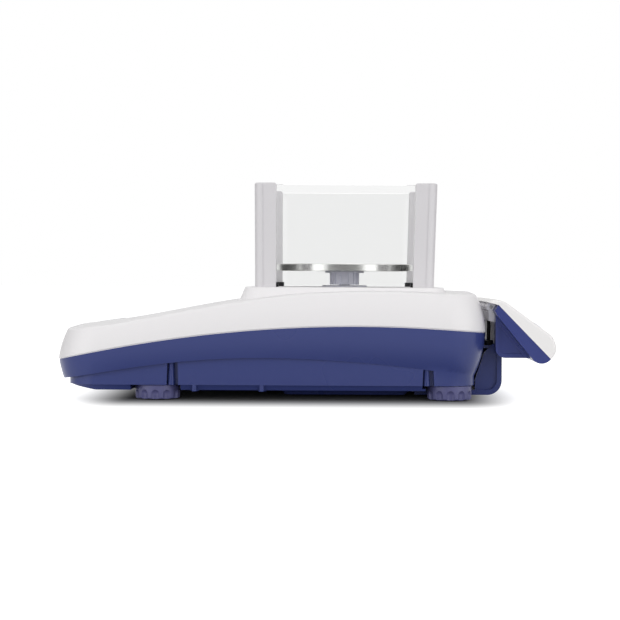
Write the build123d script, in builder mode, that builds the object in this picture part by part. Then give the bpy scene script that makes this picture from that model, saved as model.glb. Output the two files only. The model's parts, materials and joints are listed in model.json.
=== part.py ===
from build123d import *
from math import asin, atan2, cos, degrees, hypot, radians, sin, sqrt
import os

# A laboratory precision balance with an open draft shield and a tilting terminal.
# Millimetres. +Z is up, -Y is forward to the operator, +X is the operator's right.
# The origin is on the table, under the middle of the whole outline.
# A "forward" value is a distance in front of the origin, so forward = -y.
os.makedirs("parts", exist_ok=True)

# Housing outline and wall
body_rear = -206.1
body_front = 148.9
body_half_width = 104.0
plan_corner = 34.0
shell_wall = 2.6
body_length = body_front - body_rear

# Heights along the housing: share of the length from the rear, height
parting_line = (
    (0, 32.3), (0.17, 44.5), (0.39, 55.5), (0.61, 60.8), (0.76, 61.1), (0.91, 58.7), (1, 56.2),
)
crease_line = (
    (0, 56.7), (0.15, 63.5), (0.32, 74.9), (0.43, 81.5), (0.54, 86.8), (0.65, 89.2), (0.76, 90.0),
    (0.87, 88.9), (1, 87.2),
)
step_line = (
    (0, 16.3), (0.12, 23.4), (0.26, 30.6), (0.4, 34.6), (0.54, 34.9), (0.69, 32.1), (0.85, 26.4),
    (1, 17.6),
)
crown_rise = 2.5
crown_half_span = 96.0
crown_rear_slope = 0.12
top_edge_radius = 3.6

# Wall section: lean at the parting line, then an arc, above and below it
rear_upper_lean = 0.12
rear_lower_lean = 0.2
front_upper_lean = 0.0
front_lower_lean = 0.0
upper_wall_radius = 68.0
lower_wall_radius = 85.0
wall_rise = 38.0
wall_drop = 41.0
wall_depth = 30.0
core_inset = 26.0
parting_bevel = 0.9
parting_recess = 0.5
parting_groove = 0.3

# Skirt and belly under the base housing
skirt_inset = 9.5
skirt_bottom = 12.7
belly_inset = 11.5
belly_draft = 30.0
belly_bottom = 6.7
belly_rear_bottom = 8.3
belly_rise = 24.0
belly_step_forward = -142.0
belly_step_run = 5.0

# Weighing pan and its column
pan_forward = 31.2
pan_diameter = 120.0
pan_bottom = 107.1
pan_rim = 6.0
pan_sheet = 1.2
pan_edge_radius = 1.0
column_diameter = 25.7
column_ribs = 16
rib_depth = 0.9
rib_width = 2.4
flange_diameter = 34.3
flange_thickness = 1.8
flange_chamfer = 0.6
hub_diameter = 30.0
hub_ring_depth = 3.0
stem_diameter = 10.0
load_travel = 0.4
collar_diameter = 39.6
collar_thickness = 1.4
collar_bore = 14.0

# Plateau under the draft shield
plateau_top = 93.2
plateau_margin = 8.2
plateau_draft = 23.0
plateau_drop = 20.0
plateau_corner = 12.0
plateau_edge_radius = 1.8

# Draft shield
shield_side = 149.0
post_side = 17.5
post_top = 180.0
post_outer_radius = 6.0
post_edge_radius = 1.4
post_ridge_offset = 7.0
post_ridge_width = 0.7
post_ridge_depth = 0.35
shield_foot_height = 3.7
shield_foot_reach = 1.6
glass_thickness = 2.0
glass_setback = 6.0
glass_below_post_top = 1.3
glass_above_plateau = 0.8
glass_edge_chamfer = 0.3
groove_depth = 4.0
groove_clearance = 0.1

# Levelling feet
foot_rear = -123.3
foot_front = 118.7
foot_spacing_half = 74.5
knob_diameter = 36.8
knob_bottom = 0.9
knob_top = 12.4
knob_flutes = 12
flute_radius = 4.2
flute_standoff = 2.5
flute_crown = 5.2
knob_edge_radius = 1.2
pad_diameter = 26.0
pad_thickness = 3.2
pad_stem_diameter = 6.0
pad_stem_height = 7.6
pad_edge_radius = 0.6
stud_diameter = 8.0
stud_top = 36.0
stud_chamfer = 0.8
insert_diameter = 11.0
insert_bottom = 16.0
insert_length = 14.0
foot_boss_diameter = 17.0
foot_well_diameter = 41.2
running_gap = 0.05
seat_gap = 0.3

# Notches in the skirt beside the feet, each with a tapered pillar
notch_forwards = (-109.2, 100.3)
notch_width_bottom = 9.6
notch_width_top = 8.2
notch_depth = 8.0
pillar_offset = -1.3
pillar_bottom_diameter = 5.8
pillar_top_diameter = 3.9
rib_forwards = (-91.4, -36.2)
rib_diameter = 4.2
rib_drop = 0.9

# Bottom cover with its hook cap
cover_rear = -21.8
cover_front = 86.2
cover_half_width = 62.0
cover_bottom = 3.0
cover_chamfer = 3.4
cover_corner = 8.0
cover_screw_half = 36.0
cover_screw_inset = 9.0
hook_hole_diameter = 18.0
hook_cap_flange = 23.0
hook_cap_thickness = 1.2
hook_cap_slot = 1.6
hook_cap_slot_length = 14.0

# Housing screws, across and forward
housing_screw_places = ((70.0, -184.0), (82.0, -62.0), (52.0, 129.0))
screw_boss_diameter = 9.0
screw_access_diameter = 6.4
screw_shank_diameter = 3.0
screw_clearance_diameter = 3.4
screw_head_diameter = 5.6
screw_head_height = 2.4
screw_grip = 4.0
screw_bite = 8.0
inner_screw_bite = 4.0
boss_meets_below_parting = 3.0

# Weighing cell on its base plate
plate_rear = -80.0
plate_front = 84.0
plate_half_width = 58.0
plate_bottom = 17.0
plate_thickness = 6.0
plate_corner = 8.0
standoff_diameter = 10.0
plate_screw_margin = 9.0
cell_rear = -34.0
cell_front = 48.0
cell_half_width = 24.0
cell_height = 34.0
cell_web = 3.0
cell_foot = 4.0
cell_lift = 1.0
flexure_hole = 7.0
flexure_inset = 14.0
carrier_diameter = 22.0
carrier_rise = 8.0
stem_socket_depth = 9.0
pot_diameter = 40.0
pot_height = 26.0
pot_gap = 1.0
pot_edge_radius = 2.0
pot_cap_diameter = 28.0
pot_cap_height = 3.0

# Main board
board_rear = -166.0
board_front = -86.0
board_half_width = 56.0
board_bottom = 20.0
board_thickness = 1.6
board_hole_margin = 5.0
# Parts on the board: across, forward of its middle, width, depth, height
board_parts = (
    (0, 0, 18, 18, 2.2),
    (30, 14, 12, 24, 3.0),
    (-32, -20, 16, 16, 9.0),
    (-32, 18, 26, 10, 6.0),
    (26, -24, 20, 12, 4.0),
)

# Connector pocket in the rear wall
pocket_half_width = 42.0
pocket_bottom = 14.4
pocket_top = 30.0
pocket_depth = 17.0
connector_height = 22.2
jack_across = -24.0
jack_width = 12.0
jack_body_height = 11.0
jack_body_length = 13.0
jack_bezel_diameter = 11.0
jack_bezel_height = 2.0
jack_bore_diameter = 6.4
jack_bore_depth = 10.0
jack_pin_diameter = 2.1
jack_pin_length = 5.0
port_across = 14.0
port_flange_width = 31.0
port_flange_height = 12.4
port_flange_thickness = 1.2
port_shell_width = 17.0
port_shell_height = 8.4
port_shell_length = 6.0
port_shell_angle = 80.0
port_shell_corner = 1.2
port_body_width = 19.0
port_body_height = 10.6
port_body_length = 9.0

# Bubble level in the rear of the top housing
level_forward = -172.0
level_ring_diameter = 23.6
level_glass_diameter = 16.8
level_floor = 54.5
level_height = 9.4
level_cup_wall = 2.4
level_clearance = 0.2
level_ring_floor = 1.5
level_ring_chamfer = 0.6
level_dome = 1.4

# Terminal bracket, a J-shaped arm from under the base
bracket_thickness = 4.3
bracket_bottom = belly_bottom - bracket_thickness
bracket_half_width = 47.0
bracket_rear = 91.0
bracket_front = 165.0
bracket_bend = 12.3
bracket_top = 53.0
web_thickness = 3.0
web_inset = 2.6
web_rear = 142.4
web_knee = 15.0
web_back = 150.0
web_low = 38.0
web_high = 46.5
web_peak = 158.2
bracket_screw_forwards = (98.0, 114.0)
bracket_screw_half = 30.0
bracket_screw_head_diameter = 7.0
bracket_screw_head_height = 2.2
bracket_screw_diameter = 4.0
bracket_boss_height = 7.0
bracket_boss_diameter = 9.0

# Hinge between bracket and terminal
hinge_forward = 154.3
hinge_height = 77.3
knuckle_radius = 3.9
knuckle_outer = 62.0
knuckle_inner = 46.0
knuckle_middle = 36.6
knuckle_web = 4.4
pin_setback = 0.4
hinge_pin_diameter = 3.0
ear_outer = 45.6
ear_inner = 37.0
ear_radius = 3.4
ear_height = 5.4
block_rear = 152.4
block_front = 160.4
block_bottom = 65.6
block_slope_drop = 1.8
block_top = 73.2
leg_thickness = 3.4
leg_half_width = 28.0
leg_bottom = 45.0
leg_screw_height = 49.0
leg_screw_half = 20.0
leg_screw_bite = 2.6
leg_screw_head_height = 2.2

# Terminal cable between hinge carrier and bracket
cable_diameter = 3.0
cable_forward = 154.8
cable_across = -34.0
cable_low = 24.0
cable_bend = 12.0
cable_inner_end = 134.0
cable_socket = 3.0
grommet_diameter = 7.4
grommet_bottom = 39.0
grommet_top = 48.5
grommet_shelf = 42.0
grommet_waist_diameter = 5.4
grommet_shelf_thickness = 2.4
grommet_edge = 0.8

# Terminal case: side profile points as (forward, height)
terminal_half_width = 88.0
terminal_wall = 2.2
case_tip = (158.1, 79.4)
case_toe = (201.4, 35.0)
lip_end = (149.4, 81.6)
lip_root = (160.6, 83.2)
face_top = (165.6, 81.0)
face_bottom = (200.6, 55.6)
nose_upper = (204.4, 50.2)
nose = (206.1, 43.6)
nose_lower = (204.8, 38.6)
band_heel = (155.2, 74.6)
band_upper = (157.0, 70.9)
band_lower = (185.7, 35.6)
band_belly = (194.0, 31.2)
case_side_radius = 2.6
band_recess = 0.4
hinge_clearance = 0.7
hinge_slot_half = 64.0
hinge_slot_front = 163.0
hinge_slot_top = 77.6

# Wedge-shaped back box of the terminal
box_half_width = 75.0
box_bottom = 35.2
box_corner = 8.0
box_panel_rim = 3.2
box_panel_depth = 1.4
box_wall = 2.2
channel_front = 168.6

# Display and keys on the terminal face
window_width = 104.0
window_height = 19.0
window_thickness = 1.6
window_up_face = 8.4
window_ledge = 1.6
window_corner = 2.0
lcd_margin = 1.4
key_names = ("on_off", "mode", "cal", "count", "print", "tare")
key_pitch = 24.0
key_width = 17.0
key_height = 8.6
key_corner = 2.4
key_rise = 1.0
key_up_face = -11.2
key_travel = 0.7
key_gap = 0.25
key_flange = 1.0
key_flange_thickness = 0.9
key_play = 0.1
key_edge_radius = 0.5
mat_thickness = 1.2
mat_height = 12.4
terminal_board_thickness = 1.6
terminal_board_up_face = -2.0
terminal_board_half_width = 80.0
terminal_board_height = 34.0
terminal_screw_half = 75.0
terminal_screw_up = 13.0
terminal_post_diameter = 5.0
terminal_screw_diameter = 2.2
terminal_screw_head_diameter = 4.2
terminal_screw_head_height = 1.4
terminal_screw_bite = 2.0


def side_plane(across=0.0):
    """A plane seen from the side: local x is forward, local y is up, its normal is -X."""
    return Plane(origin=(across, 0, 0), x_dir=(0, -1, 0), z_dir=(-1, 0, 0))


def level(height):
    """A horizontal plane at a height."""
    return Plane.XY.offset(height)


def spot(across, forward, height=0.0):
    """A point given by its distances across, forward and up."""
    return (across, -forward, height)


def along_body(line, shift=0.0):
    """Turns shares of the housing's length into forward places."""
    return [(body_rear + body_length * share, height + shift) for share, height in line]


def height_at(points, forward):
    """Height of a row of side view points at a forward place."""
    for (f0, z0), (f1, z1) in zip(points, points[1:]):
        if forward <= f1:
            return z0 + (z1 - z0) * (forward - f0) / (f1 - f0)
    return points[-1][1]


def line_height(line, forward):
    """Height of one of the housing's long lines at a forward place."""
    return height_at(along_body(line), forward)


# Region of the side view below one of the long lines, as a solid through the whole width
beyond = 30.0
full_width = body_half_width + beyond


def below_line(line, shift=0.0, floor=-30.0):
    points = along_body(line, shift)
    rear, front = points[0], points[-1]
    with BuildPart() as region:
        with BuildSketch(side_plane()):
            with BuildLine():
                Spline(*points)
                Polyline(
                    front,
                    (front[0] + beyond, front[1]),
                    (front[0] + beyond, floor),
                    (rear[0] - beyond, floor),
                    (rear[0] - beyond, rear[1]),
                    rear,
                )
            make_face()
        extrude(amount=full_width, both=True)
    return region.part


def plan_outline(inset):
    """Rounded outline of the housing seen from above, drawn inwards by an inset."""
    with BuildSketch() as outline:
        with Locations(spot(0, (body_front + body_rear) / 2)):
            RectangleRounded(
                2 * (body_half_width - inset), body_length - 2 * inset, max(plan_corner - inset, 6.0)
            )
    return outline.sketch


# Curve of the parting line around one half of the housing, from the front middle to the rear middle
below_parting = below_line(parting_line)
ceiling = 130.0
with BuildPart() as parting_block:
    with BuildSketch(Plane.XY):
        add(plan_outline(0))
        with Locations((-body_half_width, 0)):
            Rectangle(2 * body_half_width, 2 * full_width + body_length, mode=Mode.SUBTRACT)
    extrude(amount=ceiling)
    add(below_parting, mode=Mode.INTERSECT)
parting_face = parting_block.faces().sort_by(Axis.Z)[-1]
parting_path = Wire([edge for edge in parting_face.edges() if edge.center().X > parting_bevel])
guide_rise = 60.0
parting_guide = parting_path.moved(Location((0, 0, guide_rise)))


def lean_at(rise, lean, radius):
    """How far the wall has leaned in at a height above or below the parting line."""
    return lean * rise + radius - sqrt(radius**2 - rise**2)


def wall_section(forward, height, outward, upper_lean, lower_lean, inset):
    """The housing wall where it crosses the middle plane."""

    bevel_top = parting_bevel + parting_groove / 2
    recess_drop = parting_bevel - parting_recess + parting_groove / 2

    def place(depth, rise):
        return (-forward - outward * (depth + inset), height + rise)

    with BuildSketch(Plane.YZ) as section:
        upper_start = place(lean_at(bevel_top, upper_lean, upper_wall_radius), bevel_top)
        upper_end = place(lean_at(wall_rise, upper_lean, upper_wall_radius), wall_rise)
        lower_start = place(
            parting_recess + lean_at(recess_drop, lower_lean, lower_wall_radius), -recess_drop
        )
        lower_end = place(parting_recess + lean_at(wall_drop, lower_lean, lower_wall_radius), -wall_drop)
        upper_middle = place(lean_at(wall_rise / 2, upper_lean, upper_wall_radius), wall_rise / 2)
        lower_middle = place(
            parting_recess + lean_at(wall_drop / 2, lower_lean, lower_wall_radius), -wall_drop / 2
        )
        with BuildLine():
            ThreePointArc(upper_start, upper_middle, upper_end)
            Polyline(upper_end, place(wall_depth, wall_rise), place(wall_depth, -wall_drop), lower_end)
            ThreePointArc(lower_end, lower_middle, lower_start)
            Polyline(
                lower_start,
                place(parting_bevel, -parting_groove / 2),
                place(parting_bevel, parting_groove / 2),
                upper_start,
            )
        make_face()
    return section.sketch.face()


def housing_form(inset):
    """The filled form of both housings, with its walls drawn in by an inset."""
    front = parting_path @ 0
    rear = parting_path @ 1
    with BuildPart() as form:
        sweep(
            sections=[
                wall_section(-front.Y, front.Z, -1, front_upper_lean, front_lower_lean, inset),
                wall_section(-rear.Y, rear.Z, 1, rear_upper_lean, rear_lower_lean, inset),
            ],
            path=parting_path,
            multisection=True,
            binormal=parting_guide,
        )
        mirror(about=Plane.YZ)
        with BuildSketch(level(-beyond)):
            add(plan_outline(core_inset))
        extrude(amount=ceiling + beyond)
    return form.part


def above_crown(drop):
    """Everything above the crowned top of the housing, lowered by a drop."""
    points = along_body(crease_line, crown_rise - drop)
    rear, front = points[0], points[-1]
    edge_sag = crown_rise * (full_width / crown_half_span) ** 2
    with BuildPart() as region:
        with BuildLine(side_plane()):
            ridge = Spline(
                (rear[0] - beyond, rear[1] - beyond * crown_rear_slope),
                *points,
                (front[0] + beyond, front[1]),
            )
        with BuildSketch(Plane(origin=ridge @ 0, x_dir=(1, 0, 0), z_dir=ridge % 0)) as crown:
            with BuildLine():
                ThreePointArc((-full_width, -edge_sag), (0, 0), (full_width, -edge_sag))
                Polyline(
                    (full_width, -edge_sag),
                    (full_width, ceiling),
                    (-full_width, ceiling),
                    (-full_width, -edge_sag),
                )
            make_face()
        sweep(path=ridge)
    return region.part


outer_form = housing_form(0)
inner_form = housing_form(shell_wall)
outer_crown = above_crown(0)
inner_crown = above_crown(shell_wall)
below_step = below_line(step_line)
plateau_half = shield_side / 2 + plateau_margin


def plateau_block(inset):
    """The raised square under the draft shield, widening downwards."""
    with BuildPart() as block:
        with BuildSketch(Plane(origin=spot(0, pan_forward, plateau_top - inset), z_dir=(0, 0, -1))):
            RectangleRounded(2 * (plateau_half - inset), 2 * (plateau_half - inset), plateau_corner)
        extrude(amount=plateau_drop, taper=-plateau_draft)
        if inset == 0:
            fillet(block.faces().sort_by(Axis.Z)[-1].edges(), radius=plateau_edge_radius)
    return block.part


def both_sides(places):
    """The same places on the left and on the right."""
    return [(side * across, forward) for across, forward in places for side in (-1, 1)]


def boss_meeting(forward):
    """Height where the screw bosses of the two housings meet."""
    return line_height(parting_line, forward) - boss_meets_below_parting


# Space inside the top housing
with BuildPart() as top_cavity:
    add(inner_form)
    add(inner_crown, mode=Mode.SUBTRACT)
    add(plateau_block(shell_wall))

with BuildPart() as plateau:
    add(plateau_block(0))
    add(top_cavity.part, mode=Mode.SUBTRACT)

# Parts that hang under the top skin: the screw bosses and the cup of the bubble level
with BuildPart() as top_inserts:
    for across, forward in both_sides(housing_screw_places):
        with BuildSketch(level(boss_meeting(forward))):
            with Locations(spot(across, forward)):
                Circle(screw_boss_diameter / 2)
        extrude(amount=ceiling - boss_meeting(forward))
    with BuildSketch(level(level_floor - level_cup_wall)):
        with Locations(spot(0, level_forward)):
            Circle(level_ring_diameter / 2 + level_clearance + level_cup_wall)
    extrude(amount=ceiling - level_floor)
    add(above_crown(shell_wall / 2), mode=Mode.SUBTRACT)

with BuildPart() as top_housing:
    add(outer_form)
    add(below_parting, mode=Mode.SUBTRACT)
    add(outer_crown, mode=Mode.SUBTRACT)
    fillet(top_housing.faces().sort_by(Axis.Z)[-1].edges(), radius=top_edge_radius)
    add(top_cavity.part, mode=Mode.SUBTRACT)
    add(plateau.part)
    add(top_inserts.part)
    for across, forward in both_sides(housing_screw_places):
        with Locations(spot(across, forward, boss_meeting(forward))):
            Cylinder(
                screw_shank_diameter / 2 + running_gap,
                screw_bite,
                align=(Align.CENTER, Align.CENTER, Align.MIN),
                mode=Mode.SUBTRACT,
            )
    with BuildSketch(level(level_floor)):
        with Locations(spot(0, level_forward)):
            Circle(level_ring_diameter / 2 + level_clearance)
    extrude(amount=ceiling - level_floor, mode=Mode.SUBTRACT)
    with Locations(spot(0, pan_forward, plateau_top)):
        Hole(collar_bore / 2, depth=3 * shell_wall)
top_housing.part.label = "top_housing"
export_step(top_housing.part, "parts/top_housing.step")

foot_places = both_sides(((foot_spacing_half, foot_rear), (foot_spacing_half, foot_front)))

# Heights of the belly's underside along the body
belly_line = (
    (body_rear + skirt_inset, skirt_bottom),
    (body_rear + skirt_inset + belly_rise, belly_rear_bottom),
    (belly_step_forward, belly_rear_bottom),
    (belly_step_forward + belly_step_run, belly_bottom),
    (body_front, belly_bottom),
)


def belly_form(inset):
    """The shallow pan under the skirt, drawn in by an inset."""
    with BuildPart() as belly:
        with BuildSketch(Plane(origin=(0, 0, skirt_bottom + inset), x_dir=(1, 0, 0), z_dir=(0, 0, -1))):
            mirror(plan_outline(belly_inset + inset), about=Plane.XZ)
        extrude(amount=skirt_bottom - belly_bottom, taper=belly_draft)
        with BuildSketch(side_plane()):
            with BuildLine():
                Polyline(
                    *[(forward, height + inset) for forward, height in belly_line],
                    (body_front, skirt_bottom + inset),
                    close=True,
                )
            make_face()
        extrude(amount=full_width, both=True, mode=Mode.INTERSECT)
        with Locations([spot(across, forward, belly_bottom) for across, forward in foot_places]):
            Cylinder(foot_well_diameter / 2 + inset, ceiling, mode=Mode.SUBTRACT)
    return belly.part


# Space inside the base housing
with BuildPart() as base_cavity:
    add(inner_form)
    add(below_line(step_line, shell_wall), mode=Mode.SUBTRACT)
with BuildPart() as skirt_cavity:
    with BuildSketch(level(skirt_bottom + shell_wall)):
        add(plan_outline(skirt_inset + shell_wall))
    extrude(amount=ceiling)
    add(below_line(step_line, 2 * shell_wall), mode=Mode.INTERSECT)

skirt_side = body_half_width - skirt_inset
floor_top = belly_bottom + shell_wall
plate_screws = [
    (plate_half_width - plate_screw_margin, plate_rear + plate_screw_margin),
    (plate_half_width - plate_screw_margin, plate_front - plate_screw_margin),
]
board_screws = [
    (board_half_width - board_hole_margin, board_rear + board_hole_margin),
    (board_half_width - board_hole_margin, board_front - board_hole_margin),
]
pocket_wall = body_rear + pocket_depth
pocket_middle = (pocket_bottom + pocket_top) / 2
bracket_screws_at = [(bracket_screw_half, forward) for forward in bracket_screw_forwards]
cover_screws_at = [
    (cover_screw_half, cover_rear + cover_screw_inset),
    (cover_screw_half, cover_front - cover_screw_inset),
]


def post(diameter, bottom, top, places, mode=Mode.ADD):
    """Upright round posts between two heights."""
    with Locations([spot(across, forward, bottom) for across, forward in places]):
        Cylinder(diameter / 2, top - bottom, align=(Align.CENTER, Align.CENTER, Align.MIN), mode=mode)


def bore(diameter, bottom, top, places):
    """Upright round holes between two heights."""
    post(diameter, bottom, top, places, Mode.SUBTRACT)


def facing_rear(forward, height=0.0):
    """A plane seen from in front, its local x to the right and its normal to the rear."""
    return Plane(origin=spot(0, forward, height), x_dir=(-1, 0, 0), z_dir=(0, 1, 0))


def notch_outline(forward, margin):
    """Side outline of a notch, wider at its foot, with a margin around it."""
    top = line_height(step_line, forward) + margin + shell_wall
    with BuildSketch() as outline:
        with BuildLine():
            Polyline(
                (forward - notch_width_bottom / 2 - margin, skirt_bottom),
                (forward + notch_width_bottom / 2 + margin, skirt_bottom),
                (forward + notch_width_top / 2 + margin, top),
                (forward - notch_width_top / 2 - margin, top),
                close=True,
            )
        make_face()
    return outline.sketch


# Outer form of the base: the blue band above the step line and the narrower skirt below it
with BuildPart() as skirt:
    with BuildSketch(level(skirt_bottom)):
        add(plan_outline(skirt_inset))
    extrude(amount=ceiling)
    add(below_line(step_line, shell_wall), mode=Mode.INTERSECT)
with BuildPart() as base_form:
    add(outer_form)
    add(below_parting, mode=Mode.INTERSECT)
    add(below_step, mode=Mode.SUBTRACT)
    add(skirt.part)

# Walls round the connector pocket and round the notches beside the feet
with BuildPart() as pocket_walls:
    with BuildSketch(facing_rear(pocket_wall + shell_wall, pocket_middle)):
        Rectangle(2 * (pocket_half_width + shell_wall), pocket_top - pocket_bottom + 2 * shell_wall)
    extrude(amount=pocket_depth + shell_wall)
    for forward in notch_forwards:
        for side in (-1, 1):
            with BuildSketch(side_plane(side * skirt_side)):
                add(notch_outline(forward, shell_wall))
            extrude(amount=side * (notch_depth + shell_wall))
    add(base_form.part, mode=Mode.INTERSECT)

# What is cut from the base: the pocket, the notches and the seats of the two connectors
with BuildPart() as base_cuts:
    for forward in notch_forwards:
        for side in (-1, 1):
            with BuildSketch(side_plane(side * body_half_width)):
                add(notch_outline(forward, 0))
            extrude(amount=side * (skirt_inset + notch_depth))
            with BuildSketch(side_plane(side * body_half_width)):
                with Locations((forward, skirt_bottom)):
                    Rectangle(notch_width_bottom, 2 * shell_wall)
            extrude(amount=side * (skirt_inset + notch_depth))
    add(below_step, mode=Mode.INTERSECT)
    with BuildSketch(facing_rear(pocket_wall, pocket_middle)):
        Rectangle(2 * pocket_half_width, pocket_top - pocket_bottom)
    extrude(amount=pocket_depth + beyond)
    with BuildSketch(facing_rear(pocket_wall + 2 * shell_wall, connector_height)):
        with Locations((-jack_across, 0)):
            Rectangle(jack_width + 2 * running_gap, jack_body_height + 2 * running_gap)
        with Locations((-port_across, 0)):
            Rectangle(port_body_width + 2 * running_gap, port_body_height + 2 * running_gap)
    extrude(amount=2 * shell_wall)
    with BuildSketch(facing_rear(bracket_front, cable_low)):
        with Locations((-cable_across, 0)):
            Circle(cable_diameter / 2 + running_gap)
    extrude(amount=bracket_front - cable_inner_end)

screw_hole_diameter = screw_shank_diameter + 2 * running_gap
with BuildPart() as base_housing:
    add(base_form.part)
    add(belly_form(0))
    add(base_cavity.part, mode=Mode.SUBTRACT)
    add(skirt_cavity.part, mode=Mode.SUBTRACT)
    add(belly_form(shell_wall), mode=Mode.SUBTRACT)
    add(pocket_walls.part)
    post(foot_boss_diameter, skirt_bottom, insert_bottom + insert_length, foot_places)
    for place in both_sides(housing_screw_places):
        boss_foot = height_at(belly_line, place[1]) + shell_wall / 2
        post(screw_boss_diameter, boss_foot, boss_meeting(place[1]), [place])
    post(standoff_diameter, floor_top - seat_gap, plate_bottom, both_sides(plate_screws))
    post(standoff_diameter, floor_top - seat_gap, board_bottom, both_sides(board_screws))
    post(
        bracket_boss_diameter,
        floor_top - seat_gap,
        floor_top + bracket_boss_height,
        both_sides(bracket_screws_at),
    )
    add(base_cuts.part, mode=Mode.SUBTRACT)
    for forward in notch_forwards:
        for side in (-1, 1):
            pillar_across = side * (skirt_side - notch_depth / 2)
            with Locations(spot(pillar_across, forward + pillar_offset, skirt_bottom)):
                Cone(
                    pillar_bottom_diameter / 2,
                    pillar_top_diameter / 2,
                    line_height(step_line, forward) + shell_wall - skirt_bottom,
                    align=(Align.CENTER, Align.CENTER, Align.MIN),
                )
    post(
        rib_diameter,
        belly_bottom - rib_drop,
        skirt_bottom,
        both_sides([(body_half_width - belly_inset, forward) for forward in rib_forwards]),
    )
    bore(insert_diameter + 2 * running_gap, insert_bottom, insert_bottom + insert_length, foot_places)
    bore(stud_diameter + 2 * seat_gap, skirt_bottom, insert_bottom, foot_places)
    for place in both_sides(housing_screw_places):
        seat = boss_meeting(place[1]) - screw_grip
        bore(screw_access_diameter, belly_bottom, seat, [place])
        bore(screw_clearance_diameter, seat, boss_meeting(place[1]), [place])
    bore(screw_hole_diameter, plate_bottom - inner_screw_bite, plate_bottom, both_sides(plate_screws))
    bore(screw_hole_diameter, board_bottom - inner_screw_bite, board_bottom, both_sides(board_screws))
    bore(
        bracket_screw_diameter + 2 * running_gap,
        belly_bottom,
        belly_bottom + screw_bite,
        both_sides(bracket_screws_at),
    )
    bore(hook_hole_diameter, belly_bottom, floor_top, [(0, pan_forward)])
    bore(screw_hole_diameter, belly_bottom, floor_top, both_sides(cover_screws_at))
base_housing.part.label = "base_housing"
export_step(base_housing.part, "parts/base_housing.step")

# Bottom cover with sloping edges, and the cap of the hook for weighing below the balance
cover_height = belly_bottom - cover_bottom
with BuildPart() as bottom_cover:
    cover_middle = spot(0, (cover_rear + cover_front) / 2, belly_bottom)
    with BuildSketch(Plane(origin=cover_middle, x_dir=(1, 0, 0), z_dir=(0, 0, -1))):
        RectangleRounded(2 * cover_half_width, cover_front - cover_rear, cover_corner)
    extrude(amount=cover_height, taper=degrees(atan2(cover_chamfer, cover_height)))
    bore(hook_hole_diameter, cover_bottom, belly_bottom, [(0, pan_forward)])
    bore(screw_clearance_diameter, cover_bottom, belly_bottom, both_sides(cover_screws_at))
    cover_head_seat = cover_bottom + screw_head_height
    bore(screw_access_diameter, cover_bottom, cover_head_seat, both_sides(cover_screws_at))
bottom_cover.part.label = "bottom_cover"
export_step(bottom_cover.part, "parts/bottom_cover.step")

with BuildPart() as hook_cap:
    post(hook_hole_diameter - 2 * running_gap, cover_bottom, floor_top, [(0, pan_forward)])
    post(hook_cap_flange, cover_bottom - hook_cap_thickness, cover_bottom, [(0, pan_forward)])
    chamfer(hook_cap.faces().sort_by(Axis.Z)[0].edges(), length=hook_cap_thickness / 3)
    with Locations(spot(0, pan_forward, cover_bottom - hook_cap_thickness)):
        Box(hook_cap_slot_length, hook_cap_slot, 2 * hook_cap_slot, mode=Mode.SUBTRACT)
hook_cap.part.label = "hook_cap"
export_step(hook_cap.part, "parts/hook_cap.step")

with BuildPart() as housing_screws:
    for place in both_sides(housing_screw_places):
        seat = boss_meeting(place[1]) - screw_grip
        post(screw_head_diameter, seat - screw_head_height, seat, [place])
        post(screw_shank_diameter, seat, seat + screw_grip + screw_bite - seat_gap, [place])
housing_screws.part.label = "housing_screws"
export_step(housing_screws.part, "parts/housing_screws.step")

with BuildPart() as cover_screws:
    post(screw_head_diameter, cover_bottom, cover_head_seat, both_sides(cover_screws_at))
    post(screw_shank_diameter, cover_bottom + screw_head_height, floor_top, both_sides(cover_screws_at))
cover_screws.part.label = "cover_screws"
export_step(cover_screws.part, "parts/cover_screws.step")

# Levelling feet: a brass insert, a scalloped knob with its stud, and a pad that doesn't turn
with BuildPart() as foot_inserts:
    post(insert_diameter, insert_bottom, insert_bottom + insert_length, foot_places)
    bore(stud_diameter + 2 * running_gap, insert_bottom, insert_bottom + insert_length, foot_places)
foot_inserts.part.label = "foot_inserts"
export_step(foot_inserts.part, "parts/foot_inserts.step")

with BuildPart() as knob_form:
    post(knob_diameter, knob_bottom, knob_top, [(0, 0)])
    fillet(knob_form.faces().sort_by(Axis.Z)[0].edges(), radius=knob_edge_radius)
    fillet(knob_form.faces().sort_by(Axis.Z)[-1].edges(), radius=knob_edge_radius / 2)
    with Locations((0, 0, flute_crown)):
        with PolarLocations(knob_diameter / 2 + flute_standoff, knob_flutes):
            Sphere(flute_radius, mode=Mode.SUBTRACT)
            Cylinder(
                flute_radius,
                flute_crown,
                align=(Align.CENTER, Align.CENTER, Align.MAX),
                mode=Mode.SUBTRACT,
            )
    post(stud_diameter, knob_top, stud_top, [(0, 0)])
    chamfer(knob_form.faces().sort_by(Axis.Z)[-1].edges(), length=stud_chamfer)
    bore(pad_diameter + 2 * seat_gap, knob_bottom, pad_thickness + seat_gap, [(0, 0)])
    bore(pad_stem_diameter + 2 * running_gap, pad_thickness, pad_stem_height + seat_gap, [(0, 0)])

with BuildPart() as pad_form:
    post(pad_diameter, 0, pad_thickness, [(0, 0)])
    fillet(pad_form.faces().sort_by(Axis.Z)[0].edges(), radius=pad_edge_radius)
    post(pad_stem_diameter, pad_thickness, pad_stem_height, [(0, 0)])

foot_corners = {
    "rear_left": (-foot_spacing_half, foot_rear),
    "rear_right": (foot_spacing_half, foot_rear),
    "front_left": (-foot_spacing_half, foot_front),
    "front_right": (foot_spacing_half, foot_front),
}
for corner, (across, forward) in foot_corners.items():
    for kind, form in (("knob", knob_form), ("pad", pad_form)):
        with BuildPart() as foot_piece:
            with Locations(spot(across, forward)):
                add(form.part)
        foot_piece.part.label = "foot_" + kind + "_" + corner
        export_step(foot_piece.part, "parts/foot_" + kind + "_" + corner + ".step")

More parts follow.
